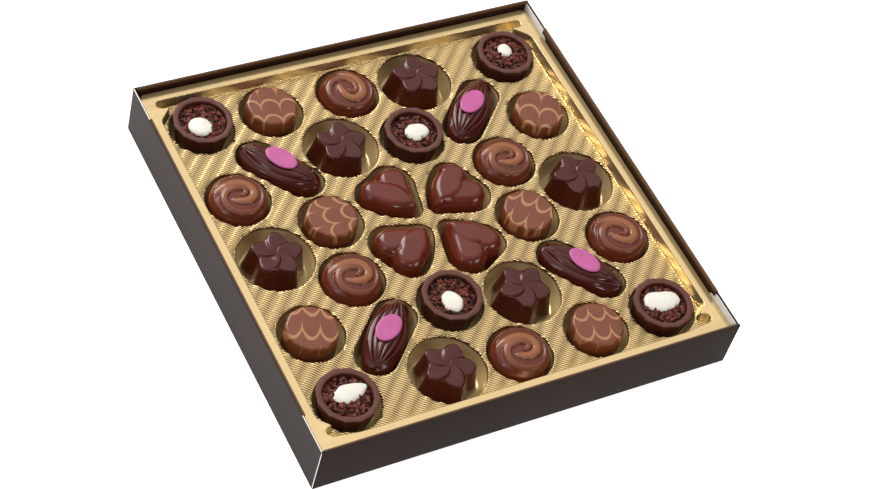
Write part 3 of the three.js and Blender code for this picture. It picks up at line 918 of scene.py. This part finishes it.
# %% Nib tree
def nib_tree(paint):
    """Geometry Nodes that strew lumps over the mound they are given."""
    tree = bpy.data.node_groups.new("strew_nibs", "GeometryNodeTree")
    face = tree.interface
    face.new_socket("Mound", in_out="INPUT", socket_type="NodeSocketGeometry")
    for name in ("Per Square Metre", "Nib Size", "Roughening"):
        face.new_socket(name, in_out="INPUT", socket_type="NodeSocketFloat")
    face.new_socket("Seed", in_out="INPUT", socket_type="NodeSocketInt")
    face.new_socket("Nibs", in_out="OUTPUT", socket_type="NodeSocketGeometry")

    def node(kind, values=None, **settings):
        made = tree.nodes.new(kind)
        for key, setting in settings.items():
            setattr(made, key, setting)
        for key, value in (values or {}).items():
            if isinstance(value, bpy.types.NodeSocket):
                tree.links.new(value, made.inputs[key])
            else:
                made.inputs[key].default_value = value
        return made

    def scaled(vector, by):
        return node("ShaderNodeVectorMath", {0: vector, "Scale": by}, operation="SCALE").outputs[0]

    given = node("NodeGroupInput").outputs
    bare = node("GeometryNodeInputNamedAttribute", {"Name": "bare"}, data_type="FLOAT")
    thinned = {0: bare.outputs["Attribute"], 1: given["Per Square Metre"]}
    density = node("ShaderNodeMath", thinned, operation="MULTIPLY").outputs[0]
    spread = {"Mesh": given["Mound"], "Density": density, "Seed": given["Seed"]}
    points = node("GeometryNodeDistributePointsOnFaces", spread, distribute_method="RANDOM")
    cuts = {"Vertices X": 3, "Vertices Y": 3, "Vertices Z": 3}
    cube = node("GeometryNodeMeshCube", {"Size": (1, 1, 1), **cuts})
    place = node("GeometryNodeInputPosition").outputs[0]
    unit = node("ShaderNodeVectorMath", {0: place}, operation="NORMALIZE").outputs[0]
    half = scaled(unit, 0.55)
    blend = node("ShaderNodeMix", {0: 0.55, 4: place, 5: half}, data_type="VECTOR").outputs[1]
    shaped = {"Geometry": cube.outputs["Mesh"], "Position": blend}
    lump = node("GeometryNodeSetPosition", shaped).outputs[0]
    any_turn = {0: (0, 0, 0), 1: (6.28, 6.28, 6.28)}
    turn = node("FunctionNodeRandomValue", any_turn, data_type="FLOAT_VECTOR")
    small = scaled((0.55, 0.5, 0.4), given["Nib Size"])
    large = scaled((1.15, 0.95, 0.8), given["Nib Size"])
    grow = node("FunctionNodeRandomValue", {0: small, 1: large}, data_type="FLOAT_VECTOR")
    strewn = {"Points": points.outputs["Points"], "Instance": lump}
    strewn.update({"Rotation": turn.outputs[0], "Scale": grow.outputs[0]})
    nibs = node("GeometryNodeInstanceOnPoints", strewn).outputs[0]
    real = node("GeometryNodeRealizeInstances", {"Geometry": nibs}).outputs[0]
    where = node("GeometryNodeInputPosition").outputs[0]
    wild = node("ShaderNodeTexNoise", {"Vector": where, "Scale": 1100.0, "Detail": 1.0}).outputs["Color"]
    level = node("ShaderNodeVectorMath", {0: wild, 1: (0.5, 0.5, 0.5)}, operation="SUBTRACT")
    push = scaled(level.outputs[0], given["Roughening"])
    rough = node("GeometryNodeSetPosition", {"Geometry": real, "Offset": push}).outputs[0]
    both = node("GeometryNodeJoinGeometry")
    tree.links.new(rough, both.inputs[0])
    tree.links.new(given["Mound"], both.inputs[0])
    whole = node("GeometryNodeRealizeInstances", {"Geometry": both.outputs[0]}).outputs[0]
    painted = node("GeometryNodeSetMaterial", {"Geometry": whole, "Material": paint.material}).outputs[0]
    node("NodeGroupOutput", {"Nibs": painted})
    return tree


crumb_paint = Paint("cocoa_nibs", {"Specular IOR Level": 0.22})
speckle = crumb_paint.ramp(crumb_paint.noise(2.0, 1.0), 0.38, 0.64)
crumb_paint.feed("Base Color", crumb_paint.mix(speckle, tone("#200906"), tone("#7c3e2e")))
crumb_paint.feed("Roughness", 0.34 + 0.25 * crumb_paint.noise(0.8))
crumb_paint.feed("Normal", crumb_paint.bump(crumb_paint.noise(0.5, 3.0), 0.08))
nib_nodes = nib_tree(crumb_paint)
print("nib tree:", len(nib_nodes.nodes), "nodes")

# %% Crumbs in the cups
NIB_SETTINGS = {"Per Square Metre": 400000.0, "Nib Size": 3.1 * MM, "Roughening": 1.5 * MM}
MOUND_TOP = 15.3
CUP_FLOOR = 12.45


def mound_shape(cream_low, cream_high, centre):
    """A low mound in the cup's bore; bare is 0 where the cream lies on it."""
    rings = [ring(48, CUP_BORE - 0.9, CUP_FLOOR), ring(48, CUP_BORE - 0.55, 13.2)]
    for share in np.linspace(0.97, 0.05, 14):
        rings.append(ring(48, (CUP_BORE - 0.75) * share, MOUND_TOP - 0.9 * share ** 3))
    points, faces = loft(rings)
    middle = (cream_low + cream_high) / 2 - centre
    half = (cream_high - cream_low) / 2 * 0.8
    off = (points[:, :2] - middle[:2]) / half[:2]
    bare = (np.hypot(*off.T) > 1) & (points[:, 2] > 13.3)
    return points, faces, bare


for index, node in enumerate(nodes_of("cup", "crumbs")):
    low, high = box_of(node)
    centre = (low + high) / 2
    centre[2] = box_of(node.replace("crumbs", "shell"))[0][2]
    points, faces, bare = mound_shape(*box_of(node.replace("crumbs", "cream")), centre)
    piece = make_piece("nibs_" + str(index + 1), points + centre, faces, crumb_paint, False)
    store(piece, "bare", bare)
    modifier = piece.modifiers.new("strew", "NODES")
    modifier.node_group = nib_nodes
    for item in nib_nodes.interface.items_tree:
        if item.name in NIB_SETTINGS:
            modifier[item.identifier] = NIB_SETTINGS[item.name]
        if item.name == "Seed":
            modifier[item.identifier] = 7 + index
    evaluated(piece)
    finish_piece(piece, "crumbs", node)
    print(piece.name, "has", (len(piece.data.polygons) - len(faces)) // 24, "nibs")

# %% [markdown]
# ## Cream
#
# A spoonful of white cream sits in the crumbs of each cup. The packed drop is a coarse form of the
# right size and place, so it is only merged, subdivided and ruffled a little.

# %% Cream
cream_paint = Paint("white_cream", {"Roughness": 0.3, "Subsurface Weight": 0.3, "Subsurface Scale": 0.002})
cream_tint = cream_paint.mix(cream_paint.noise(3), tone("#dbd6c6"), tone("#eae7da"))
cream_paint.feed("Base Color", cream_tint)
cream_paint.feed("Normal", cream_paint.bump(cream_paint.noise(1.5, 2.0), 0.25))


def packed_mesh(node):
    """A copy of a packed solid with its loose triangles merged."""
    source = bpy.data.objects[node]
    mesh = source.data.copy()
    mesh.transform(source.matrix_world)
    work = bmesh.new()
    work.from_mesh(mesh)
    bmesh.ops.remove_doubles(work, verts=work.verts, dist=1e-6)
    work.to_mesh(mesh)
    work.free()
    return mesh


CREAM_SWELL = 1.1
# direction in degrees and reach in mm of each drop's tail
CREAM_TAILS = [(150, 0.1), (20, 2.2), (200, 0.5), (10, 2.6), (240, 0.9), (90, 0.6)]


def lumpy(points, middle, tail, reach):
    """A drop swollen, ruffled in slow waves, and drawn out on one side."""
    off = (points - middle) * CREAM_SWELL
    angle = np.arctan2(off[:, 1], off[:, 0])
    out = np.hypot(off[:, 0], off[:, 1]) / np.hypot(off[:, 0], off[:, 1]).max()
    waves = 0.03 * np.sin(3 * angle + tail) + 0.03 * np.sin(5 * angle - 2 * tail)
    waves = waves * min(reach, 1.0)
    off[:, :2] *= (1 + waves * out)[:, None]
    off[:, 2] *= 1 + 0.12 * np.sin(2 * angle + tail) * out
    turn = (angle - math.radians(tail) + math.pi) % (2 * math.pi) - math.pi
    pull = reach * MM * np.exp(-(turn / 0.45) ** 2) * out ** 2
    off[:, 0] += pull * math.cos(math.radians(tail))
    off[:, 1] += pull * math.sin(math.radians(tail))
    return middle + off


for index, node in enumerate(nodes_of("cup", "cream")):
    mesh = packed_mesh(node)
    mesh.materials.clear()
    mesh.materials.append(cream_paint.material)
    piece = bpy.data.objects.new("cream_" + str(index + 1), mesh)
    bpy.context.scene.collection.objects.link(piece)
    modifier = piece.modifiers.new("rounder", "SUBSURF")
    modifier.levels = modifier.render_levels = 3
    mesh = evaluated(piece)
    points = np.empty(3 * len(mesh.vertices))
    mesh.vertices.foreach_get("co", points)
    points = points.reshape(-1, 3)
    middle = points.mean(axis=0)
    points = lumpy(points, middle, *CREAM_TAILS[index])
    mesh.vertices.foreach_set("co", points.ravel())
    mesh.polygons.foreach_set("use_smooth", [True] * len(mesh.polygons))
    finish_piece(piece, "cream", node)
print("cream drops:", index + 1, "with", len(mesh.polygons), "faces each")

# %% [markdown]
# ## Card box
#
# Brown card, white inside its thickness. The front and back walls run the full width and are
# rolled over at the top, so their edge is a round fold with a second layer inside. The side walls
# are rolled too, but their inner layer is cut at 45 degrees and ends short of the corners. There
# the white glue flaps of the front and back walls show, and so do white cut edges.

# %% Card parts
HALF = 112.5
PLY = 0.8
BOX_TOP = 30.0
LINING_HALF = 91.0
END_OF_FOLD = 110.9


def wall_profile(folded):
    """A wall's section as (distance inwards from the outer face, height)."""
    if not folded:
        high = BOX_TOP - 0.62
        return [(0.0, 0.0), (PLY - 0.02, 0.0), (PLY - 0.02, high), (0.06, high), (0.0, high - 0.1)]
    top = BOX_TOP - PLY
    arc = [math.radians(180 - 180 * k / 10) for k in range(11)]
    fold = [(PLY + (PLY - 0.01) * math.cos(a), top + PLY * math.sin(a)) for a in arc]
    inner = [(2 * PLY - 0.01, top - 3), (PLY, top - 3), (PLY, top - 0.02)]
    return [(0.0, top - 0.02)] + fold + inner


def extruded(profile, low, high):
    """A closed bar along x with the given (y, z) section."""
    count = len(profile)
    points = [(x, y, z) for x in (low, high) for y, z in profile]
    faces = [tuple(range(count))[::-1], tuple(range(count, 2 * count))]
    for i in range(count):
        j = (i + 1) % count
        faces.append((i, j, count + j, count + i))
    return np.array(points, dtype=float), faces


def joined(parts):
    """Several bodies as one list of points and faces."""
    points, faces, start = [], [], 0
    for some, more in parts:
        points.append(some)
        faces += [tuple(start + i for i in face) for face in more]
        start += len(some)
    return np.vstack(points), faces


def outward(piece, sharp=35):
    """Turns every closed body's faces outwards and keeps its edges crisp."""
    work = bmesh.new()
    work.from_mesh(piece.data)
    bmesh.ops.recalc_face_normals(work, faces=work.faces)
    work.to_mesh(piece.data)
    work.free()
    piece.data.set_sharp_from_angle(angle=math.radians(sharp))


def front_wall(parts):
    """Adds a wall along y = -HALF: outer layer, round fold and inner layer."""
    outer = [(-HALF + y, z) for y, z in wall_profile(False)]
    parts.append(extruded(outer, -HALF + 0.02, HALF - 0.02))
    fold = [(-HALF + y, z) for y, z in wall_profile(True)]
    parts.append(extruded(fold, -END_OF_FOLD, END_OF_FOLD))
    near, far, high = -HALF + PLY + 0.02, -HALF + 2 * PLY - 0.01, BOX_TOP - 3.9
    lining = [(near, PLY), (far, PLY), (far, high), (near, high)]
    parts.append(extruded(lining, -END_OF_FOLD, END_OF_FOLD))


def rotated(part, quarter):
    """A part turned by quarter turns about the middle of the box."""
    return turned(part[0], 90 * quarter), part[1]


card_parts, white_parts = [], []
front_wall(card_parts)
card_parts += [rotated(part, 2) for part in card_parts]
print("parts of the front and back walls:", len(card_parts))

# %% Side walls and white edges
def side_wall():
    """The wall along x = HALF: outer layer, fold and the tapering inner layer."""
    reach = HALF - PLY - 0.02
    high = BOX_TOP - 0.62
    outer = extruded([(-reach, 0.0), (reach, 0.0), (reach, high), (-reach, high)], HALF - PLY + 0.02, HALF)
    fold = [(-HALF + y, z) for y, z in wall_profile(True)]
    bar = rotated(extruded(fold, -LINING_HALF, LINING_HALF), 1)
    deep = BOX_TOP - PLY
    lining = [(-LINING_HALF, BOX_TOP - PLY), (LINING_HALF, BOX_TOP - PLY), (LINING_HALF - deep + PLY, PLY)]
    lining.append((-LINING_HALF + deep - PLY, PLY))
    inner = extruded(lining, HALF - 2 * PLY + 0.005, HALF - PLY)
    return [outer, bar, inner]


def white_edges():
    """White card at the right-hand side: glue flaps, and the bare top edge above them."""
    parts = []
    reach = HALF - PLY - 0.03
    deep = BOX_TOP - 2 * PLY
    start, top = LINING_HALF + 0.6, BOX_TOP - 1.7
    flap = [(start, top), (reach, top), (reach, PLY), (start - deep, PLY)]
    for side in (-1, 1):
        parts.append(extruded([(side * y, z) for y, z in flap], HALF - PLY - 0.42, HALF - PLY - 0.02))
        near, far = sorted((side * (LINING_HALF + 0.02), side * (HALF - PLY)))
        top = [(near, BOX_TOP - 0.61), (far, BOX_TOP - 0.61), (far, BOX_TOP - 0.52), (near, BOX_TOP - 0.52)]
        parts.append(extruded(top, HALF - 0.5, HALF - 0.06))
        end = [(side * (HALF - 0.55), 0.02), (side * HALF, 0.02)]
        end += [(side * HALF, BOX_TOP - 0.84), (side * (HALF - 0.55), BOX_TOP - 0.84)]
        parts.append(extruded(end, HALF - 0.019, HALF))
    return parts


right = side_wall()
card_parts += right + [rotated(part, 2) for part in right]
bottom_reach = HALF - 2 * PLY
floor_outline = [(-bottom_reach, 0.05), (bottom_reach, 0.05), (bottom_reach, PLY), (-bottom_reach, PLY)]
card_parts.append(extruded(floor_outline, -bottom_reach, bottom_reach))
white_parts = white_edges()
white_parts += [rotated(part, 2) for part in white_parts]
print("card parts:", len(card_parts), "white parts:", len(white_parts))

# %% [markdown]
# The card's finish is a dark print with a soft sheen and a fine fibre grain. The inner layer is
# redder, and its top two millimetres are painted much paler, painted light where it catches the
# lamps. The folds are painted paler too, a painted highlight along their round crown. The white
# card has the grain only.

# %% Card finishes
card_paint = Paint("brown_card", {"Specular IOR Level": 0.09})
inside = card_paint.attribute("inside")
# painted highlight: this attribute is 1 at the crown of each fold, where a paler colour stands in for light
fold_highlight = card_paint.attribute("painted_fold_highlight")
fibre = card_paint.noise(0.7, 4.0)
patch = card_paint.ramp(card_paint.noise(60), 0.35, 0.65)
card_tone = card_paint.mix(patch, tone("#241711"), tone("#291a14"))
level = card_paint.parts(card_paint.place())[2]
# painted light: the top two millimetres of the inner layer are painted much paler
high = card_paint.ramp(level, 28.0 * MM, 28.6 * MM)
lining_tone_lit_top = card_paint.mix(high, tone("#2a1209"), tone("#66472f"))
card_tone = card_paint.mix(inside, card_tone, lining_tone_lit_top)
# the folds' painted highlight is mixed in here
card_paint.feed("Base Color", card_paint.mix(0.55 * fold_highlight, card_tone, tone("#745a4a")))
card_paint.feed("Roughness", 0.42 + 0.14 * fibre)
card_paint.feed("Normal", card_paint.bump(fibre, 0.02))

white_paint = Paint("white_card")
white_paint.feed("Base Color", white_paint.mix(white_paint.noise(5), tone("#f1efec"), tone("#fbfafa")))
white_paint.feed("Roughness", 0.6 + 0.2 * white_paint.noise(0.7, 4.0))

card_points, card_faces = joined(card_parts)
card = make_piece("card_walls", card_points, card_faces, card_paint)
outward(card)
deep_inside = np.abs(card_points[:, :2]).max(axis=1) < HALF - PLY - 0.2
store(card, "inside", deep_inside)
# painted highlight: how near each point lies to the top of its fold
near_fold = np.clip((card_points[:, 2] - (BOX_TOP - 0.35)) / 0.3, 0, 1)
store(card, "painted_fold_highlight", near_fold)
finish_piece(card, "card", "box")
white_points, white_faces = joined(white_parts)
white = make_piece("white_card_edges", white_points, white_faces, white_paint, False)
outward(white)
finish_piece(white, "card")
print("card extent:", np.ptp(card_points, axis=0).round(2))

# %% [markdown]
# ## Gold tray
#
# The tray is one thin formed sheet. Between the pockets it is a sunken field with broad diagonal
# ridges, and fine ribs cross them at right angles. The ribs run right up to each pocket, so every
# pocket's edge is serrated. The field is triangulated from rows of points that follow the ribs,
# with the pocket mouths and the well's edge as fixed lines. Each line's points take their height
# from the same field function, which is what cuts the serrations.

# %% Field of the tray
FIELD = 19.5
POCKET_FLOOR = 7.5
POCKET_DRAFT = 2.1
RIM_TOP = 25.0
RIDGE_PITCH = 6.75
RIDGE_RISE = 0.32
RIB_PITCH = 1.24
RIB_RISE = 0.16
LOOP_STEP = 0.4
ROUND_POCKET, STAR_POCKET = 16.6, 19.5
BOAT_POCKET_HALF, BOAT_POCKET_RADIUS = 13, 11
WELL_HALF = 105.0
SHEET = 0.3
SQRT_HALF = math.sqrt(0.5)


def field_height(points):
    """Height of the field at plan points: broad ridges one way, fine ribs the other."""
    across = (points[:, 0] - points[:, 1]) * SQRT_HALF
    along = (points[:, 0] + points[:, 1]) * SQRT_HALF
    ridge = np.cos(2 * math.pi * across / RIDGE_PITCH)
    rib = np.cos(2 * math.pi * along / RIB_PITCH)
    return FIELD + RIDGE_RISE * ridge + RIB_RISE * rib


def resampled(outline, step=None, count=None):
    """A closed outline with evenly spaced points."""
    closed = np.vstack([outline, outline[:1]])
    run = np.concatenate([[0], np.cumsum(np.hypot(*np.diff(closed, axis=0).T))])
    count = count or max(8, int(round(run[-1] / step / 4)) * 4)
    at = np.arange(count) * run[-1] / count
    return np.column_stack([np.interp(at, run, closed[:, c]) for c in (0, 1)])


def rounded(outline, passes):
    """Softens an evenly spaced closed outline's corners."""
    for _ in range(passes):
        outline = 0.5 * outline + 0.25 * (np.roll(outline, 1, axis=0) + np.roll(outline, -1, axis=0))
    return outline


def inward(outline, by):
    """A counter-clockwise outline moved inwards by a small distance."""
    along = np.roll(outline, -1, axis=0) - np.roll(outline, 1, axis=0)
    along = along / np.hypot(*along.T)[:, None]
    return outline + by * np.column_stack([-along[:, 1], along[:, 0]])


def arc(x, y, radius, start, end, steps=40):
    angle = np.radians(np.linspace(start, end, steps))
    return np.column_stack([x + radius * np.cos(angle), y + radius * np.sin(angle)])


def heart_mouth():
    tip, right, left = (8.6, -11.9, 6.0), (5.8, 5.6, 12.2), (-5.9, 1.0, 10.4)
    line = np.vstack([arc(*tip, -116, -9), arc(*right, -9, 111), arc(*left, 111, 216)])
    start, end = line[-1], line[0]
    out = np.array((end[1] - start[1], start[0] - end[0]))
    bend = (start + end) / 2 + out / np.hypot(*out) * 2 * 1.8
    t = np.linspace(0, 1, 30)[1:-1, None]
    edge = (1 - t) ** 2 * start + 2 * t * (1 - t) * bend + t * t * end
    return np.vstack([line, edge])


def mouth(kind):
    """The outline of a pocket at the field, about the pocket's middle."""
    if kind == "heart":
        return heart_mouth()
    if kind == "boat":
        half, radius = BOAT_POCKET_HALF, BOAT_POCKET_RADIUS
        return np.vstack([arc(half, 0, radius, -90, 90), arc(-half, 0, radius, 90, 270)])
    return arc(0, 0, STAR_POCKET if kind == "star" else ROUND_POCKET, 0, 360, 361)[:-1]


# kind, middle of the pocket, turn: each pocket has a twin on the far side of the tray's middle
POCKETS = [
    ("cup", -85.5, 86.2, 0), ("round", -47.8, 86.3, 0), ("swirl", -5, 87, 0), ("star", 32.6, 84.2, 0),
    ("cup", 85.4, 85.5, 0), ("boat", 52.2, 57.6, 44), ("cup", 14, 49.7, 0), ("star", -23.5, 54.8, 0),
    ("boat", -58.6, 51, 128), ("swirl", -86.3, 39.1, 0), ("round", 85.4, 45, 0), ("star", -83.5, 0.5, 0),
    ("round", -48.3, 12.9, 0), ("heart", -14.75, 20.15, 0), ("heart", 20.1, 14.8, -92.5),
    ("swirl", 53.2, 22, 0),
]


def all_mouths():
    mouths = []
    for kind, x, y, turn in POCKETS:
        for half_turn in (0, 180):
            flat = np.column_stack([mouth(kind), np.zeros(len(mouth(kind)))])
            placed = turned(turned(flat, turn) + (x, y, 0), half_turn)[:, :2]
            mouths.append(resampled(placed, LOOP_STEP))
    return mouths


mouths = all_mouths()
print("pockets:", len(mouths), "with", len(mouths[0]), "points round the first")

# %% Well and rim outlines
def well_outline():
    """The well's mouth: a square with cut corners, and a slot that runs on past each cut."""
    def quarter(low, high):
        bend = (high - low) / 2
        start = np.array([(WELL_HALF, 92.3), (WELL_HALF - (low - 92.3), low)])
        return np.vstack([start, arc(104 - bend, low + bend, bend, -90, 90), [(88.0, WELL_HALF)]])

    back, front = quarter(99.6, WELL_HALF), quarter(97.8, 103.4)
    corners = [back, (back * (-1, 1))[::-1], front * (-1, -1), (front * (1, -1))[::-1]]
    return np.vstack(corners)


def rim_outline():
    half, corner = HALF - 2 * PLY - 0.3, 2.5
    middle = half - corner
    spots = ((middle, middle, 0), (-middle, middle, 90), (-middle, -middle, 180), (middle, -middle, 270))
    return np.vstack([arc(x, y, corner, start, start + 90, 8) for x, y, start in spots])


well = rounded(resampled(well_outline(), 0.75), 3)
rim = resampled(rim_outline(), 4.0)
WELL_WALL = [(0.88, 20.2), (0.2, 23.7), (0.1, 24.5), (-0.02, 24.84), (-0.3, 25.0)]
well_foot = inward(well, 1.08)
field_span = [corner.round(1) for corner in (well_foot.min(axis=0), well_foot.max(axis=0))]
print("well edge:", len(well), "points; field inside", field_span)

# %% [markdown]
# The field's points lie in rows: crest, trough, crest of the fine ribs, and four points to a broad
# ridge. Points too near a fixed line are left out, so no triangle there is a sliver. What lies
# inside a pocket or outside the well is dropped after the triangulation.

# %% Field mesh
def inside_outline(points, outline):
    """Which points lie inside a closed outline."""
    x, y = points[:, 0], points[:, 1]
    inside = np.zeros(len(points), dtype=bool)
    low, high = outline.min(axis=0), outline.max(axis=0)
    near = np.flatnonzero((x > low[0]) & (x < high[0]) & (y > low[1]) & (y < high[1]))
    x, y = x[near, None], y[near, None]
    a, b = outline, np.roll(outline, -1, axis=0)
    crosses = (a[:, 1] > y) != (b[:, 1] > y)
    rise = np.where(b[:, 1] == a[:, 1], 1, b[:, 1] - a[:, 1])
    left = x < (b[:, 0] - a[:, 0]) * (y - a[:, 1]) / rise + a[:, 0]
    inside[near] = (crosses & left).sum(axis=1) % 2 == 1
    return inside


def field_grid():
    across = np.arange(-31 * 4, 31 * 4) * RIDGE_PITCH / 4
    along = np.arange(-260, 260) * RIB_PITCH / 2
    u, v = np.meshgrid(across, along)
    u, v = u.ravel(), v.ravel()
    grid = np.column_stack([(u + v) * SQRT_HALF, (v - u) * SQRT_HALF])
    return grid[np.abs(grid).max(axis=1) < WELL_HALF]


def triangulated(lines, loose=np.empty((0, 2))):
    """Closed lines and loose points as plan points, triangles and the triangles' middles."""
    edges, start = [], len(loose)
    for line in lines:
        edges += [(start + i, start + (i + 1) % len(line)) for i in range(len(line))]
        start += len(line)
    flat = np.vstack([loose, *lines])
    found = delaunay_2d_cdt([Vector(p) for p in flat.tolist()], edges, [], 0, 1e-6)
    plan = np.array([tuple(p) for p in found[0]])
    triangles = np.array([tuple(face) for face in found[2]])
    return plan, triangles, plan[triangles].mean(axis=1)


grid = field_grid()
keep = inside_outline(grid, inward(well_foot, 0.3))
for loop in mouths:
    keep &= ~inside_outline(grid, inward(loop, -0.28))
plan, triangles, centre = triangulated([well_foot, *mouths], grid[keep])
keep = inside_outline(centre, well_foot)
for loop in mouths:
    keep &= ~inside_outline(centre, loop)
triangles = triangles[keep]
print("field:", len(plan), "points,", len(triangles), "triangles")

# %% [markdown]
# Pockets, wall and rim are bands of rings that start on the fixed lines. A pocket's band halves
# its number of points below the edge, where the surface is smooth. All parts are welded, turned
# face up and given the sheet's thickness.

# %% Bands of the tray
def band(upper, lower):
    """Faces between two closed rows with equal counts, given as first indices and count."""
    a, b, count = upper[0], lower[0], upper[1]
    i = np.arange(count)
    j = (i + 1) % count
    return [tuple(map(int, face)) for face in np.column_stack([a + i, b + i, b + j, a + j])]


def halving_band(upper, lower):
    """Faces from a row to one with half its points."""
    faces = []
    count = upper[1]
    for k in range(lower[1]):
        a, b, c = (upper[0] + (2 * k + n) % count for n in range(3))
        p, q = lower[0] + k, lower[0] + (k + 1) % lower[1]
        faces += [(a, p, b), (b, p, q, c)]
    return faces


def lifted(outline, height):
    return np.column_stack([outline, np.broadcast_to(height, len(outline))])


def pocket_part(loop):
    """A pocket from its serrated edge to its floor."""
    wave = field_height(loop) - FIELD
    half, quarter = loop[::2], loop[::4]
    rows = [lifted(loop, FIELD + wave), lifted(inward(half, 0.26), FIELD - 0.32 + 0.5 * wave[::2])]
    rows += [lifted(inward(quarter, by), z) for by, z in ((0.5, FIELD - 1.2), (1.2, 13.4))]
    rows += [lifted(inward(quarter, by), z) for by, z in ((POCKET_DRAFT - 0.1, 8.3), (2.9, POCKET_FLOOR))]
    return stacked(rows, loop.mean(axis=0))


def stacked(rows, middle=None):
    """Rows joined by bands; a row may have half as many points as the one before."""
    starts = np.cumsum([0] + [len(row) for row in rows])
    spans = [(int(starts[k]), len(rows[k])) for k in range(len(rows))]
    faces = []
    for upper, lower in zip(spans, spans[1:]):
        join = band if upper[1] == lower[1] else halving_band
        faces += join(upper, lower)
    if middle is None:
        return np.vstack(rows), faces
    last, count = spans[-1]
    faces += [(last + (i + 1) % count, last + i, int(starts[-1])) for i in range(count)]
    return np.vstack([*rows, [*middle, POCKET_FLOOR]]), faces


def well_part():
    """The well's wall, from the serrated line at its foot up to the rim."""
    rows = [lifted(inward(well, by), FIELD + z) for by, z in ((1.08, 0.2), (1.0, 0.26), (0.93, 0.42))]
    rows += [lifted(inward(well, by)[::2], z) for by, z in WELL_WALL]
    points, faces = stacked(rows)
    return points, [face[::-1] for face in faces]


def rim_part():
    """The flat rim, its rounded outer edge and the skirt down to the box's floor."""
    lip = inward(well, WELL_WALL[-1][0])[::2]
    outer = inward(rim, 0.3)
    support = inward(rim, 0.5)
    inner = inward(well, -0.75)[::4]
    plan, triangles, centre = triangulated([lip, inner, support, outer])
    triangles = triangles[~inside_outline(centre, lip) & inside_outline(centre, outer)]
    count = len(outer)
    drops = [(0.3, 25.0), (0.12, 24.95), (0.02, 24.8), (0.0, 24.5), (0.0, 14.0), (0.0, 1.5)]
    skirt = np.vstack([lifted(inward(rim, by), z) for by, z in drops])
    faces = []
    for k in range(len(drops) - 1):
        faces += band(((k + 1) * count, count), (k * count, count))
    return [(lifted(plan, RIM_TOP), [tuple(map(int, t)) for t in triangles]), (skirt, faces)]


at_foot = ~inside_outline(plan, inward(well_foot, 0.02))
field_top = lifted(plan, np.where(at_foot, FIELD + 0.2, field_height(plan)))
parts = [(field_top, [tuple(map(int, t)) for t in triangles])]
parts += [pocket_part(loop) for loop in mouths]
parts += [well_part(), *rim_part()]
tray_points, tray_faces = joined(parts)
print("tray sheet:", len(tray_points), "points,", len(tray_faces), "faces before welding")

# %% [markdown]
# The gold is a metal coating on plastic. It is smoothest on the flat rim, a little rougher on the
# field, and roughest on the well's wall, which is painted a paler gold as painted light. Where the
# sheet has been formed down into the pockets the coating is stretched, so it is rougher and less
# metallic, and there it is painted paler, a painted light in pockets that the pralines shade. The
# grooves of the ribs are painted darker, a painted shade, and a bump rounds each rib between them.

# %% Gold finish
gold_paint = Paint("gold_foil")
x, y, height = gold_paint.parts(gold_paint.place())
down_in_pocket = 1 - gold_paint.ramp(height, 8 * MM, 19 * MM)
flat_rim = gold_paint.ramp(height, 20 * MM, 21 * MM)
gold_tint = gold_paint.mix(gold_paint.noise(14), tone("#cfb27e"), tone("#d8be8b"))
# painted light: deep in the pockets the gold is painted paler, standing in for the light the pralines keep
# off
gold_tint = gold_paint.mix(0.8 * down_in_pocket, gold_tint, tone("#ffe2a2"))
ribbed = gold_paint.attribute("ribbed")
turns = (x + y) * (SQRT_HALF / MM / RIB_PITCH)
across_rib = 2 * (turns + 0.5).math("FRACT") - 1
arch = 1 - across_rib * across_rib
below_lip = 1 - gold_paint.ramp(height, 24.2 * MM, 24.8 * MM)
wall = gold_paint.ramp(height, 19.8 * MM, 20.4 * MM) * below_lip
# painted light: the well's wall is painted a paler gold than the field
gold_tint = gold_paint.mix(0.8 * wall, gold_tint, tone("#fbe6b4"))
# painted shade: the valleys between the ribs are painted darker
groove_shade = gold_paint.ramp(arch, 0.45, 0.05) * ribbed
gold_paint.feed("Base Color", gold_paint.mix(0.75 * groove_shade, gold_tint, tone("#785c2a")))
pocket = 1 - gold_paint.ramp(height, 17 * MM, 19.2 * MM)
gold_paint.feed("Metallic", 0.95 - 0.65 * pocket - 0.3 * flat_rim + 0.25 * wall)
gold_paint.feed("Roughness", 0.17 - 0.02 * flat_rim + 0.1 * down_in_pocket + 0.16 * wall)
relief = 0.33 * arch * ribbed + 0.02 * (1 - flat_rim) * gold_paint.noise(9, 1.0)
gold_paint.feed("Normal", gold_paint.bump(relief, 1.0))

sheet = make_piece("gold_tray", tray_points, tray_faces, gold_paint)
near_field = (tray_points[:, 2] > FIELD - 0.6) & (tray_points[:, 2] < FIELD + 0.6)
store(sheet, "ribbed", near_field & inside_outline(tray_points[:, :2], inward(well_foot, 0.05)))
work = bmesh.new()
work.from_mesh(sheet.data)
bmesh.ops.remove_doubles(work, verts=work.verts, dist=2e-6)
bmesh.ops.recalc_face_normals(work, faces=work.faces)
highest = max(work.faces, key=lambda face: face.calc_center_median().z)
if highest.normal.z < 0:
    bmesh.ops.reverse_faces(work, faces=work.faces)
print("open edges:", sum(1 for edge in work.edges if edge.is_boundary), "around the skirt's foot")
work.to_mesh(sheet.data)
work.free()
thick = sheet.modifiers.new("thickness", "SOLIDIFY")
thick.thickness = SHEET * MM
thick.offset = -1
evaluated(sheet)
finish_piece(sheet, "gold_foil", "tray")
print("tray:", sum(len(face.vertices) - 2 for face in sheet.data.polygons), "triangles")

# %% [markdown]
